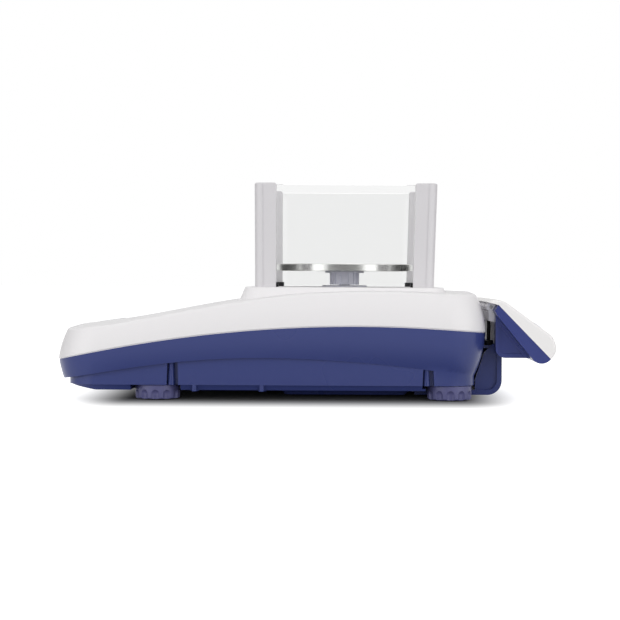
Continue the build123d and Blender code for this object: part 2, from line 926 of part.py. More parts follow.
# Weighing cell on its base plate, under the pan
plate_top = plate_bottom + plate_thickness
cell_top = plate_top + cell_height
with BuildPart() as cell_plate:
    with BuildSketch(level(plate_bottom)):
        with Locations(spot(0, (plate_rear + plate_front) / 2)):
            RectangleRounded(2 * plate_half_width, plate_front - plate_rear, plate_corner)
    extrude(amount=plate_thickness)
    bore(screw_clearance_diameter, plate_bottom, plate_top, both_sides(plate_screws))
cell_plate.part.label = "cell_plate"
export_step(cell_plate.part, "parts/cell_plate.step")

# The cell is a block with a window, its thin webs guiding the pan's end up and down
window_low = plate_top + cell_foot
window_high = cell_top - cell_web
window_rear = cell_rear + flexure_inset
window_front = cell_front - flexure_inset
with BuildPart() as weighing_cell:
    with BuildSketch(side_plane()):
        with Locations((cell_rear, plate_top)):
            Rectangle(cell_front - cell_rear, cell_height, align=Align.MIN)
        with Locations((window_rear, window_low)):
            Rectangle(
                window_front - window_rear,
                window_high - window_low,
                align=Align.MIN,
                mode=Mode.SUBTRACT,
            )
        with Locations((window_rear, plate_top)):
            Rectangle(cell_front - window_rear, cell_lift, align=Align.MIN, mode=Mode.SUBTRACT)
        for forward in (window_rear, window_front):
            with Locations(
                (forward, window_low + flexure_hole / 2),
                (forward, window_high - flexure_hole / 2),
            ):
                Circle(flexure_hole / 2, mode=Mode.SUBTRACT)
    extrude(amount=cell_half_width, both=True)
    carrier_top = cell_top + carrier_rise
    socket_bottom = carrier_top - stem_socket_depth
    post(carrier_diameter, cell_top, carrier_top, [(0, pan_forward)])
    bore(stem_diameter + 2 * running_gap, socket_bottom, carrier_top, [(0, pan_forward)])
weighing_cell.part.label = "weighing_cell"
export_step(weighing_cell.part, "parts/weighing_cell.step")

with BuildPart() as magnet_pot:
    pot_place = [(0, cell_rear - pot_gap - pot_diameter / 2)]
    post(pot_diameter, plate_top, plate_top + pot_height, pot_place)
    fillet(magnet_pot.faces().sort_by(Axis.Z)[-1].edges(), radius=pot_edge_radius)
    post(pot_cap_diameter, plate_top + pot_height, plate_top + pot_height + pot_cap_height, pot_place)
magnet_pot.part.label = "magnet_pot"
export_step(magnet_pot.part, "parts/magnet_pot.step")

# Main board with its larger parts
board_top = board_bottom + board_thickness
with BuildPart() as main_board:
    with BuildSketch(level(board_bottom)):
        with Locations(spot(0, (board_rear + board_front) / 2)):
            Rectangle(2 * board_half_width, board_front - board_rear)
    extrude(amount=board_thickness)
    bore(screw_clearance_diameter, board_bottom, board_top, both_sides(board_screws))
    for across, forward, width, depth, rise in board_parts:
        with Locations(spot(across, (board_rear + board_front) / 2 + forward, board_top)):
            Box(width, depth, rise, align=(Align.CENTER, Align.CENTER, Align.MIN))
main_board.part.label = "main_board"
export_step(main_board.part, "parts/main_board.step")

with BuildPart() as inner_screws:
    for seat, bottom, places in (
        (plate_top, plate_bottom - inner_screw_bite, both_sides(plate_screws)),
        (board_top, board_bottom - inner_screw_bite, both_sides(board_screws)),
    ):
        post(screw_shank_diameter, bottom + seat_gap, seat, places)
        post(screw_head_diameter, seat, seat + screw_head_height, places)
inner_screws.part.label = "inner_screws"
export_step(inner_screws.part, "parts/inner_screws.step")

# Connectors in the rear pocket
with BuildPart() as power_jack:
    with BuildSketch(facing_rear(pocket_wall + jack_body_length, connector_height)):
        with Locations((-jack_across, 0)):
            Rectangle(jack_width, jack_body_height)
    extrude(amount=jack_body_length)
    with BuildSketch(facing_rear(pocket_wall, connector_height)):
        with Locations((-jack_across, 0)):
            Circle(jack_bezel_diameter / 2)
    extrude(amount=jack_bezel_height)
    with BuildSketch(facing_rear(pocket_wall - jack_bezel_height + jack_bore_depth, connector_height)):
        with Locations((-jack_across, 0)):
            Circle(jack_bore_diameter / 2)
    extrude(amount=jack_bore_depth, mode=Mode.SUBTRACT)
    with BuildSketch(facing_rear(pocket_wall - jack_bezel_height + jack_bore_depth, connector_height)):
        with Locations((-jack_across, 0)):
            Circle(jack_pin_diameter / 2)
    extrude(amount=jack_pin_length)
power_jack.part.label = "power_jack"
export_step(power_jack.part, "parts/power_jack.step")

with BuildPart() as serial_port:
    with BuildSketch(facing_rear(pocket_wall + port_body_length, connector_height)):
        with Locations((-port_across, 0)):
            Rectangle(port_body_width, port_body_height)
    extrude(amount=port_body_length)
    with BuildSketch(facing_rear(pocket_wall, connector_height)):
        with Locations((-port_across, 0)):
            Rectangle(port_flange_width, port_flange_height)
    extrude(amount=port_flange_thickness)
    flange_face = facing_rear(pocket_wall - port_flange_thickness, connector_height)
    with BuildSketch(flange_face) as shell_outline:
        with Locations((-port_across, 0)):
            Trapezoid(port_shell_width, port_shell_height, port_shell_angle)
        fillet(shell_outline.vertices(), radius=port_shell_corner)
    extrude(amount=port_shell_length)
serial_port.part.label = "serial_port"
export_step(serial_port.part, "parts/serial_port.step")

# Bubble level in its ring
level_top = level_floor + level_height
with BuildPart() as level_ring:
    post(level_ring_diameter, level_floor, level_top, [(0, level_forward)])
    vial_seat = level_floor + level_ring_floor
    bore(level_glass_diameter + 2 * running_gap, vial_seat, level_top, [(0, level_forward)])
    chamfer(level_ring.faces().sort_by(Axis.Z)[-1].edges(), length=level_ring_chamfer)
level_ring.part.label = "level_ring"
export_step(level_ring.part, "parts/level_ring.step")

with BuildPart() as level_vial:
    post(level_glass_diameter, vial_seat, level_top - level_clearance, [(0, level_forward)])
    fillet(level_vial.faces().sort_by(Axis.Z)[-1].edges(), radius=level_dome)
level_vial.part.label = "level_vial"
export_step(level_vial.part, "parts/level_vial.step")

# Pan, its support column and the collar on the plateau
pan_top = pan_bottom + pan_rim
sheet_bottom = pan_top - pan_sheet
ring_inner = hub_diameter / 2 + running_gap
with BuildPart() as pan:
    with BuildSketch(Plane(origin=spot(0, pan_forward), x_dir=(1, 0, 0), z_dir=(0, -1, 0))):
        with BuildLine():
            Polyline(
                (0, pan_top),
                (pan_diameter / 2, pan_top),
                (pan_diameter / 2, pan_bottom),
                (pan_diameter / 2 - pan_sheet, pan_bottom),
                (pan_diameter / 2 - pan_sheet, sheet_bottom),
                (ring_inner + pan_sheet, sheet_bottom),
                (ring_inner + pan_sheet, sheet_bottom - hub_ring_depth),
                (ring_inner, sheet_bottom - hub_ring_depth),
                (ring_inner, sheet_bottom),
                (0, sheet_bottom),
                close=True,
            )
        make_face()
    revolve(axis=Axis(spot(0, pan_forward), (0, 0, 1)))
    fillet(pan.faces().sort_by(Axis.Z)[-1].edges(), radius=pan_edge_radius)
pan.part.label = "pan"
export_step(pan.part, "parts/pan.step")

flange_bottom = pan_bottom - flange_thickness
column_bottom = plateau_top + collar_thickness + load_travel + 2 * running_gap
stem_bottom = socket_bottom + load_travel + 2 * running_gap
with BuildPart() as pan_support:
    with BuildSketch(level(column_bottom)):
        with Locations(spot(0, pan_forward)):
            Circle(column_diameter / 2 - rib_depth)
            with PolarLocations(column_diameter / 2 - rib_depth, column_ribs):
                Rectangle(2 * rib_depth, rib_width)
    extrude(amount=flange_bottom - column_bottom)
    post(flange_diameter, flange_bottom, pan_bottom, [(0, pan_forward)])
    chamfer(pan_support.faces().sort_by(Axis.Z)[-1].edges(), length=flange_chamfer)
    post(hub_diameter, pan_bottom - flange_chamfer, sheet_bottom, [(0, pan_forward)])
    post(stem_diameter, stem_bottom, column_bottom + flange_thickness, [(0, pan_forward)])
pan_support.part.label = "pan_support"
export_step(pan_support.part, "parts/pan_support.step")

with BuildPart() as column_collar:
    post(collar_diameter, plateau_top, plateau_top + collar_thickness, [(0, pan_forward)])
    chamfer(column_collar.faces().sort_by(Axis.Z)[-1].edges(), length=collar_thickness / 2)
    bore(collar_bore, plateau_top, plateau_top + collar_thickness, [(0, pan_forward)])
column_collar.part.label = "column_collar"
export_step(column_collar.part, "parts/column_collar.step")

# Draft shield: four grooved corner posts, a black foot block in each, and four panes
shield_half = shield_side / 2
post_inner = shield_half - post_side
glass_line = shield_half - glass_setback
groove_width = glass_thickness + 2 * groove_clearance
foot_block_outer = glass_line - groove_width / 2
foot_block_side = foot_block_outer - post_inner + shield_foot_reach
ridge_place = shield_half - post_ridge_offset


def shield_plane(height, turn):
    """A plane at the middle of the shield, its local x and y turned towards one corner."""
    return Plane(origin=spot(0, pan_forward, height)).rotated((0, 0, turn))


shield_corners = {"rear_right": 0, "rear_left": 90, "front_left": 180, "front_right": 270}
for corner, turn in shield_corners.items():
    with BuildPart() as shield_post:
        with BuildSketch(shield_plane(plateau_top, turn)) as section:
            with Locations((post_inner, post_inner)):
                Rectangle(post_side, post_side, align=Align.MIN)
            outermost = section.vertices().sort_by_distance((shield_half, shield_half))[0]
            fillet(outermost, radius=post_outer_radius)
        extrude(amount=post_top - plateau_top)
        fillet(shield_post.faces().sort_by(Axis.Z)[-1].edges(), radius=post_edge_radius)
        with BuildSketch(shield_plane(plateau_top, turn)):
            with Locations((ridge_place, shield_half)):
                Rectangle(post_ridge_width, 2 * post_ridge_depth)
            with Locations((shield_half, ridge_place)):
                Rectangle(2 * post_ridge_depth, post_ridge_width)
            with Locations((post_inner, glass_line)):
                Rectangle(2 * groove_depth, groove_width)
            with Locations((glass_line, post_inner)):
                Rectangle(groove_width, 2 * groove_depth)
        extrude(amount=post_top - plateau_top, mode=Mode.SUBTRACT)
        with BuildSketch(shield_plane(plateau_top, turn)):
            with Locations((foot_block_outer, foot_block_outer)):
                Rectangle(post_side, post_side, align=Align.MAX)
        extrude(amount=shield_foot_height, mode=Mode.SUBTRACT)
    shield_post.part.label = "shield_post_" + corner
    export_step(shield_post.part, "parts/shield_post_" + corner + ".step")

with BuildPart() as shield_feet:
    for turn in shield_corners.values():
        with BuildSketch(shield_plane(plateau_top, turn)):
            with Locations((foot_block_outer, foot_block_outer)):
                Rectangle(foot_block_side, foot_block_side, align=Align.MAX)
        extrude(amount=shield_foot_height)
shield_feet.part.label = "shield_feet"
export_step(shield_feet.part, "parts/shield_feet.step")

glass_bottom = plateau_top + glass_above_plateau
glass_top = post_top - glass_below_post_top
glass_half = post_inner + groove_depth - groove_clearance
for side_name, turn in (("rear", 0), ("left", 90), ("front", 180), ("right", 270)):
    with BuildPart() as pane:
        with BuildSketch(shield_plane(glass_bottom, turn)):
            with Locations((0, glass_line)):
                Rectangle(2 * glass_half, glass_thickness)
        extrude(amount=glass_top - glass_bottom)
        chamfer(pane.faces().sort_by(Axis.Z)[-1].edges(), length=glass_edge_chamfer)
    pane.part.label = "glass_" + side_name
    export_step(pane.part, "parts/glass_" + side_name + ".step")

# Terminal bracket: a J-shaped rim with recessed side webs and a shelf for the cable grommet
floor_line = bracket_bottom + bracket_thickness
arm_rear = bracket_front - bracket_thickness
with BuildPart() as terminal_bracket:
    with BuildSketch(side_plane()) as rim:
        with BuildLine():
            Polyline(
                (bracket_rear, bracket_bottom),
                (bracket_front, bracket_bottom),
                (bracket_front, bracket_top),
                (arm_rear, bracket_top),
                (arm_rear, floor_line),
                (bracket_rear, floor_line),
                close=True,
            )
        make_face()
        inner_bend = rim.vertices().sort_by_distance((arm_rear, floor_line))[0]
        fillet(inner_bend, radius=bracket_bend - bracket_thickness)
        fillet(rim.vertices().sort_by_distance((bracket_front, bracket_bottom))[0], radius=bracket_bend)
    extrude(amount=bracket_half_width, both=True)
    for side in (-1, 1):
        with BuildSketch(side_plane(side * (bracket_half_width - web_inset))) as web:
            with BuildLine():
                Polyline(
                    (web_rear, floor_line - web_inset),
                    (web_rear, web_knee),
                    (web_back, web_low),
                    (web_peak, web_high),
                    (arm_rear + web_inset, web_high - web_inset),
                    (arm_rear + web_inset, floor_line - web_inset),
                    close=True,
                )
            make_face()
            lower_corner = (arm_rear + web_inset, floor_line - web_inset)
            fillet(web.vertices().sort_by_distance(lower_corner)[0], radius=bracket_bend - web_inset)
            fillet(web.vertices().sort_by_distance((web_peak, web_high))[0], radius=web_inset)
        extrude(amount=side * web_thickness)
    with BuildSketch(level(grommet_shelf)):
        with Locations(spot(0, arm_rear + web_inset)):
            Rectangle(
                2 * (bracket_half_width - web_inset) - web_thickness,
                arm_rear + web_inset - web_back,
                align=(Align.CENTER, Align.MIN),
            )
    extrude(amount=grommet_shelf_thickness)
    bore(
        grommet_waist_diameter + 2 * running_gap,
        grommet_shelf,
        grommet_shelf + grommet_shelf_thickness,
        [(cable_across, cable_forward)],
    )
    bracket_hole_diameter = bracket_screw_diameter + 2 * running_gap
    bore(bracket_hole_diameter, bracket_bottom, floor_line, both_sides(bracket_screws_at))
    bore(
        bracket_screw_head_diameter + 2 * running_gap,
        bracket_bottom,
        bracket_bottom + bracket_screw_head_height,
        both_sides(bracket_screws_at),
    )
    with BuildSketch(facing_rear(bracket_front, leg_screw_height)):
        with Locations((-leg_screw_half, 0), (leg_screw_half, 0)):
            Circle(bracket_screw_diameter / 2 + running_gap)
    extrude(amount=bracket_thickness, mode=Mode.SUBTRACT)
terminal_bracket.part.label = "terminal_bracket"
export_step(terminal_bracket.part, "parts/terminal_bracket.step")

with BuildPart() as bracket_screws:
    head_seat = bracket_bottom + bracket_screw_head_height
    head_places = both_sides(bracket_screws_at)
    post(bracket_screw_head_diameter, bracket_bottom + seat_gap, head_seat, head_places)
    post(bracket_screw_diameter, head_seat, belly_bottom + screw_bite - seat_gap, head_places)
    with BuildSketch(facing_rear(bracket_front, leg_screw_height)):
        with Locations((-leg_screw_half, 0), (leg_screw_half, 0)):
            Circle(bracket_screw_diameter / 2)
    extrude(amount=bracket_thickness + leg_screw_bite)
    with BuildSketch(facing_rear(bracket_front + leg_screw_head_height, leg_screw_height)):
        with Locations((-leg_screw_half, 0), (leg_screw_half, 0)):
            Circle(bracket_screw_head_diameter / 2)
    extrude(amount=leg_screw_head_height)
bracket_screws.part.label = "bracket_screws"
export_step(bracket_screws.part, "parts/bracket_screws.step")

# Hinge carrier: three barrels on a block, with a leg down to the bracket
hinge_at = (hinge_forward, hinge_height)
barrel_spans = (
    (-knuckle_outer, -knuckle_inner),
    (-knuckle_middle, knuckle_middle),
    (knuckle_inner, knuckle_outer),
)
with BuildPart() as hinge_carrier:
    for low, high in barrel_spans:
        with BuildSketch(side_plane(high)):
            with Locations(hinge_at):
                Circle(knuckle_radius)
            with Locations((block_rear, block_top - knuckle_radius)):
                Rectangle(knuckle_web, hinge_height - block_top + knuckle_radius, align=Align.MIN)
        extrude(amount=high - low)
    with BuildSketch(side_plane()):
        with BuildLine():
            Polyline(
                (block_rear, block_bottom),
                (block_front, block_bottom - block_slope_drop),
                (block_front, block_top),
                (block_rear, block_top),
                close=True,
            )
        make_face()
    extrude(amount=knuckle_outer, both=True)
    with BuildSketch(side_plane()):
        with Locations((arm_rear, leg_bottom)):
            leg_height = block_bottom - leg_bottom + leg_thickness
            Rectangle(leg_thickness, leg_height, align=(Align.MAX, Align.MIN))
    extrude(amount=leg_half_width, both=True)
    with BuildSketch(side_plane()):
        with Locations(hinge_at):
            Circle(hinge_pin_diameter / 2 + running_gap)
    extrude(amount=full_width, both=True, mode=Mode.SUBTRACT)
    with BuildSketch(facing_rear(arm_rear, leg_screw_height)):
        with Locations((-leg_screw_half, 0), (leg_screw_half, 0)):
            Circle(bracket_screw_diameter / 2 + running_gap)
    extrude(amount=leg_screw_bite + running_gap, mode=Mode.SUBTRACT)
    bore(
        cable_diameter + 2 * running_gap,
        block_bottom - block_slope_drop,
        block_bottom + cable_socket,
        [(cable_across, cable_forward)],
    )
hinge_carrier.part.label = "hinge_carrier"
export_step(hinge_carrier.part, "parts/hinge_carrier.step")

with BuildPart() as hinge_pin:
    with BuildSketch(side_plane()):
        with Locations(hinge_at):
            Circle(hinge_pin_diameter / 2)
    extrude(amount=knuckle_outer - pin_setback, both=True)
hinge_pin.part.label = "hinge_pin"
export_step(hinge_pin.part, "parts/hinge_pin.step")

# Cable from the hinge carrier through the grommet into the base
with BuildPart() as terminal_cable:
    with BuildLine(side_plane(cable_across)) as route:
        FilletPolyline(
            (cable_forward, block_bottom + cable_socket - running_gap),
            (cable_forward, cable_low),
            (cable_inner_end, cable_low),
            radius=cable_bend,
        )
    cable_end = spot(cable_across, cable_forward, block_bottom + cable_socket - running_gap)
    with BuildSketch(Plane(origin=cable_end)):
        Circle(cable_diameter / 2)
    sweep(path=route.wires()[0])
terminal_cable.part.label = "terminal_cable"
export_step(terminal_cable.part, "parts/terminal_cable.step")

with BuildPart() as cable_grommet:
    cable_place = [(cable_across, cable_forward)]
    post(grommet_waist_diameter, grommet_bottom, grommet_top, cable_place)
    post(grommet_diameter, grommet_bottom, grommet_shelf, cable_place)
    post(grommet_diameter, grommet_shelf + grommet_shelf_thickness, grommet_top, cable_place)
    fillet(cable_grommet.faces().sort_by(Axis.Z)[-1].edges(), radius=grommet_edge)
    bore(cable_diameter + 2 * running_gap, grommet_bottom, grommet_top, cable_place)
cable_grommet.part.label = "cable_grommet"
export_step(cable_grommet.part, "parts/cable_grommet.step")

# Terminal case: one side profile, split into a white cover and a blue shell along tip and toe
with BuildSketch() as case_outline:
    with BuildLine():
        TangentArc(face_top, lip_end, tangent=Vector(*face_top) - Vector(*face_bottom))
        Line(face_top, face_bottom)
        Spline(
            face_bottom,
            nose_upper,
            nose,
            nose_lower,
            case_toe,
            tangents=(Vector(*face_bottom) - Vector(*face_top), Vector(*band_belly) - Vector(*case_toe)),
        )
        ThreePointArc(case_toe, band_belly, band_lower)
        Polyline(band_lower, band_upper, band_heel, case_tip, lip_end)
    make_face()


def inset_points(points, distance):
    """Corners of a clockwise outline after each of its sides moves inwards by a distance."""
    moved = []
    for before, corner, after in zip(points[-1:] + points[:-1], points, points[1:] + points[:1]):
        first = (Vector(*corner) - Vector(*before)).normalized().rotate(Axis.Z, -90)
        second = (Vector(*after) - Vector(*corner)).normalized().rotate(Axis.Z, -90)
        moved.append(Vector(*corner) + (first + second) * (distance / (1 + first.dot(second))))
    return moved


with BuildSketch() as cavity_outline:
    upper_row = [lip_root, face_top, face_bottom, nose_upper, nose, nose_lower, case_toe]
    lower_row = [band_belly, band_lower, band_upper, band_heel]
    inner = inset_points(upper_row + lower_row, terminal_wall)
    with BuildLine():
        Polyline(*inner[:3])
        Spline(*inner[2:7])
        ThreePointArc(*inner[6:9])
        Polyline(*inner[8:], inner[0])
    make_face()


def hinge_slot(margin):
    """Room for the hinge behind the terminal's upper edge, with a margin round it."""
    with BuildPart() as slot:
        with BuildSketch(side_plane()):
            with Locations((hinge_slot_front + margin, hinge_slot_top + margin)):
                Rectangle(hinge_slot_front, hinge_slot_top, align=Align.MAX)
            with Locations(hinge_at):
                Circle(knuckle_radius + hinge_clearance + margin)
        extrude(amount=hinge_slot_half + margin, both=True)
    return slot.part


with BuildPart() as case_cavity:
    with BuildSketch(side_plane()):
        add(cavity_outline.sketch)
    extrude(amount=terminal_half_width - terminal_wall, both=True)
    add(hinge_slot(terminal_wall), mode=Mode.SUBTRACT)

# Everything on the cover's side of the split: along the lip to the tip, then down to the toe
tip = Vector(*case_tip)
split_slope = (Vector(*case_toe) - tip).normalized()
lip_slope = (Vector(*lip_end) - tip).normalized()
with BuildPart() as cover_side:
    with BuildSketch(side_plane()):
        with BuildLine():
            toe_far = Vector(*case_toe) + split_slope * beyond
            lip_far = Vector(*lip_end) + lip_slope * beyond
            Polyline(
                (toe_far.X, toe_far.Y),
                case_tip,
                (lip_far.X, lip_far.Y),
                (lip_far.X, ceiling),
                (toe_far.X + beyond, ceiling),
                (toe_far.X + beyond, toe_far.Y),
                close=True,
            )
        make_face()
    extrude(amount=full_width, both=True)

face_slope = atan2(face_top[1] - face_bottom[1], face_bottom[0] - face_top[0])
face_middle = spot(0, (face_top[0] + face_bottom[0]) / 2, (face_top[1] + face_bottom[1]) / 2)


def face_plane(depth=0.0):
    """A plane along the terminal's face, a depth below it: local x across, local y up the face."""
    face = Plane(
        origin=face_middle, x_dir=(1, 0, 0), z_dir=(0, -sin(face_slope), cos(face_slope))
    )
    return face.offset(-depth)


key_places = [
    ((number - (len(key_names) - 1) / 2) * key_pitch, key_up_face) for number in range(len(key_names))
]
board_posts = [
    (side * terminal_screw_half, terminal_board_up_face + shift * terminal_screw_up)
    for side in (-1, 1)
    for shift in (-1, 1)
]
mat_depth = terminal_wall + key_play + key_flange_thickness + key_travel + key_play
terminal_board_depth = mat_depth + mat_thickness
with BuildPart() as terminal_cover:
    with BuildSketch(side_plane()):
        add(case_outline.sketch)
    extrude(amount=terminal_half_width, both=True)
    outward = split_slope.rotate(Axis.Z, 90)
    rounded = [
        edge
        for edge in terminal_cover.faces().filter_by(Axis.X).edges()
        if (Vector(-edge.center().Y, edge.center().Z) - tip).dot(outward) > seat_gap
    ]
    fillet(rounded, radius=case_side_radius)
    add(cover_side.part, mode=Mode.INTERSECT)
    add(hinge_slot(0), mode=Mode.SUBTRACT)
    add(case_cavity.part, mode=Mode.SUBTRACT)
    for side in (-1, 1):
        with BuildSketch(side_plane(side * ear_outer)):
            with Locations(hinge_at):
                Circle(ear_radius)
                Rectangle(ear_radius, ear_height, align=(Align.CENTER, Align.MIN))
        extrude(amount=side * (ear_outer - ear_inner))
    with BuildSketch(side_plane()):
        with Locations(hinge_at):
            Circle(hinge_pin_diameter / 2 + running_gap)
    extrude(amount=ear_outer, both=True, mode=Mode.SUBTRACT)
    with BuildSketch(face_plane(terminal_board_depth)):
        with Locations(board_posts):
            Circle(terminal_post_diameter / 2)
    extrude(amount=terminal_board_depth - terminal_wall / 2)
    with BuildSketch(face_plane(terminal_board_depth)):
        with Locations(board_posts):
            Circle(terminal_screw_diameter / 2 + running_gap)
    extrude(amount=terminal_board_depth - terminal_wall, mode=Mode.SUBTRACT)
    with BuildSketch(face_plane()):
        with Locations((0, window_up_face)):
            RectangleRounded(
                window_width + 2 * running_gap, window_height + 2 * running_gap, window_corner
            )
    extrude(amount=-window_thickness, mode=Mode.SUBTRACT)
    with BuildSketch(face_plane()):
        with Locations((0, window_up_face)):
            Rectangle(window_width - 2 * window_ledge, window_height - 2 * window_ledge)
        with Locations(key_places):
            RectangleRounded(key_width + 2 * key_gap, key_height + 2 * key_gap, key_corner + key_gap)
    extrude(amount=-2 * terminal_wall, mode=Mode.SUBTRACT)
terminal_cover.part.label = "terminal_cover"
export_step(terminal_cover.part, "parts/terminal_cover.step")

with BuildPart() as terminal_shell:
    with BuildSketch(side_plane()):
        add(case_outline.sketch)
    extrude(amount=terminal_half_width - band_recess, both=True)
    add(cover_side.part, mode=Mode.SUBTRACT)
    add(hinge_slot(0), mode=Mode.SUBTRACT)
    add(case_cavity.part, mode=Mode.SUBTRACT)
terminal_shell.part.label = "terminal_shell"
export_step(terminal_shell.part, "parts/terminal_shell.step")

# Wedge-shaped back box, with a channel for the bracket and a recessed panel on each side
with BuildSketch() as box_outline:
    with BuildLine():
        Polyline(
            band_upper,
            (band_upper[0], box_bottom),
            (band_lower[0], box_bottom),
            band_lower,
            close=True,
        )
    make_face()
    fillet(box_outline.vertices().sort_by_distance((band_upper[0], box_bottom))[0], radius=box_corner)
with BuildSketch() as box_cavity_outline:
    offset(box_outline.sketch, amount=-box_wall, kind=Kind.INTERSECTION)
with BuildSketch() as box_panel_outline:
    offset(box_outline.sketch, amount=-box_panel_rim, kind=Kind.INTERSECTION)


def box_form(outline, half_width, margin):
    """The filled back box of an outline, with the channel for the bracket cut away."""
    with BuildPart() as form:
        with BuildSketch(side_plane()):
            add(outline)
        extrude(amount=half_width, both=True)
        with BuildSketch(side_plane()):
            with Locations((channel_front + margin, 0)):
                Rectangle(channel_front, ceiling, align=(Align.MAX, Align.MIN))
        extrude(amount=hinge_slot_half + margin, both=True, mode=Mode.SUBTRACT)
    return form.part


with BuildPart() as terminal_back_box:
    add(box_form(box_outline.sketch, box_half_width, 0))
    cavity_half = box_half_width - box_wall - box_panel_depth
    add(box_form(box_cavity_outline.sketch, cavity_half, box_wall), mode=Mode.SUBTRACT)
    for side in (-1, 1):
        with BuildSketch(side_plane(side * box_half_width)):
            add(box_panel_outline.sketch)
        extrude(amount=side * box_panel_depth, mode=Mode.SUBTRACT)
terminal_back_box.part.label = "terminal_back_box"
export_step(terminal_back_box.part, "parts/terminal_back_box.step")

# Display behind its window
with BuildPart() as display_window:
    with BuildSketch(face_plane(window_thickness)):
        with Locations((0, window_up_face)):
            RectangleRounded(window_width, window_height, window_corner)
    extrude(amount=window_thickness)
display_window.part.label = "display_window"
export_step(display_window.part, "parts/display_window.step")

with BuildPart() as lcd_module:
    with BuildSketch(face_plane(terminal_board_depth)):
        with Locations((0, window_up_face)):
            Rectangle(
                window_width - 2 * window_ledge + 2 * lcd_margin,
                window_height - 2 * window_ledge + 2 * lcd_margin,
            )
    extrude(amount=terminal_board_depth - terminal_wall)
lcd_module.part.label = "lcd_module"
export_step(lcd_module.part, "parts/lcd_module.step")

with BuildPart() as terminal_board:
    with BuildSketch(face_plane(terminal_board_depth + terminal_board_thickness)):
        with Locations((0, terminal_board_up_face)):
            Rectangle(2 * terminal_board_half_width, terminal_board_height)
        with Locations(board_posts):
            Circle(terminal_screw_diameter / 2 + running_gap, mode=Mode.SUBTRACT)
    extrude(amount=terminal_board_thickness)
terminal_board.part.label = "terminal_board"
export_step(terminal_board.part, "parts/terminal_board.step")

with BuildPart() as terminal_screws:
    board_back = terminal_board_depth + terminal_board_thickness
    with BuildSketch(face_plane(board_back)):
        with Locations(board_posts):
            Circle(terminal_screw_diameter / 2)
    extrude(amount=terminal_board_thickness + terminal_screw_bite)
    with BuildSketch(face_plane(board_back + terminal_screw_head_height)):
        with Locations(board_posts):
            Circle(terminal_screw_head_diameter / 2)
    extrude(amount=terminal_screw_head_height)
terminal_screws.part.label = "terminal_screws"
export_step(terminal_screws.part, "parts/terminal_screws.step")

# Six keys on a rubber mat
with BuildPart() as key_mat:
    with BuildSketch(face_plane(mat_depth + mat_thickness)):
        with Locations((0, key_up_face)):
            Rectangle(len(key_names) * key_pitch, mat_height)
    extrude(amount=mat_thickness)
key_mat.part.label = "key_mat"
export_step(key_mat.part, "parts/key_mat.step")

flange_top = terminal_wall + key_play
for key_name, key_place in zip(key_names, key_places):
    with BuildPart() as key:
        with BuildSketch(face_plane(flange_top + key_flange_thickness)):
            with Locations(key_place):
                RectangleRounded(key_width + 2 * key_flange, key_height + 2 * key_flange, key_corner)
        extrude(amount=key_flange_thickness)
        with BuildSketch(face_plane(flange_top)):
            with Locations(key_place):
                RectangleRounded(key_width, key_height, key_corner)
        extrude(amount=flange_top + key_rise)
        highest = key.faces().sort_by(Axis(face_middle, face_plane().z_dir))[-1]
        fillet(highest.edges(), radius=key_edge_radius)
    key.part.label = "key_" + key_name
    export_step(key.part, "parts/key_" + key_name + ".step")
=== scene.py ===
import bpy
import json
from math import pi, radians
from mathutils import Euler, Matrix, Vector


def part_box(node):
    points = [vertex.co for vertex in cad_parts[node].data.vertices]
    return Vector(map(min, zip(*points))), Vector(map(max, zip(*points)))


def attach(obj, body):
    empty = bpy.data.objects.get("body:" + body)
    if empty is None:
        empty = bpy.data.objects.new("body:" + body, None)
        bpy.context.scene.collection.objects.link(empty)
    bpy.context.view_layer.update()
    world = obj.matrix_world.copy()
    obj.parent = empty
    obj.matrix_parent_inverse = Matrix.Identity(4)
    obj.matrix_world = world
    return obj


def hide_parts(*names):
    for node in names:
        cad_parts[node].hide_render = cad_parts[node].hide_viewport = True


# A precision balance, seen level from its left side, on a plain pale floor.
# Metres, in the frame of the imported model: -Y is forward to the operator, +X the operator's right.
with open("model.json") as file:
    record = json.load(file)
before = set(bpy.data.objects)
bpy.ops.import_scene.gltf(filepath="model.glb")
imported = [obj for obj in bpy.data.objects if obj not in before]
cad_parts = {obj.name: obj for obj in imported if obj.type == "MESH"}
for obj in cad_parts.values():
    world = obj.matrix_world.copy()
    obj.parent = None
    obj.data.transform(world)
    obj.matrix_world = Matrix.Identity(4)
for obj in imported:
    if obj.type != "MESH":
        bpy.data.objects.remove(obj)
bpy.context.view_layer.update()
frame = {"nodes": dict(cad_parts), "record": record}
bpy.ops.object.select_all(action="DESELECT")

# Camera, level with the pan's lower half and turned a little about its own axis
camera_distance = 1.4
camera_height = 0.1009
camera_lens = 92.67
camera_roll = radians(0.3)
camera_shift = (-0.0556, -0.0516)
pan_forward = 0.0312

# Light levels
sky_level = 0.44
overhead_power = 5.4
side_power = 6.1
strip_power = 3.8
fill_power = 3.5
# Painted shadow: the floor's darker tone inside the oblong under the object
floor_painted_shadow_tone = 0.26
floor_far_tone = 0.6
# The floor is painted darker in a rounded oblong under the object, a painted shadow that adds to its real
# one, and fades to white paper around it
shade_middle = (0.0, 0.008)
shade_half = (0.087, 0.135)
shade_fade = (0.12, 0.065)
card_tone = 0.02

# Lamps and dark cards: aims, places and sizes
upper_aim = (0, 0, 0.08)
lower_aim = (0, 0, 0.05)
overhead_place = (0.1, 0.0, 1.5)
overhead_size = (1.6, 1.6)
side_place = (-1.7, -0.1, 0.22)
side_size = (1.6, 0.4)
strip_across = -1.05
strip_height = 0.45
strip_along = {"strip_front": -1.25, "strip_rear": 1.2}
strip_size = (1.1, 0.9)
fill_across = -0.9
fill_height = 0.3
fill_along = {"fill_front": -1.5, "fill_rear": 1.5}
fill_size = (1.2, 0.55)
left_card_place = (-1.3, -0.03, 0.3)
left_card_size = (1.5, 0.6)
end_card_across = 0.4
end_card_along = 0.95
end_card_height = 0.25
end_card_size = (1.1, 0.5)


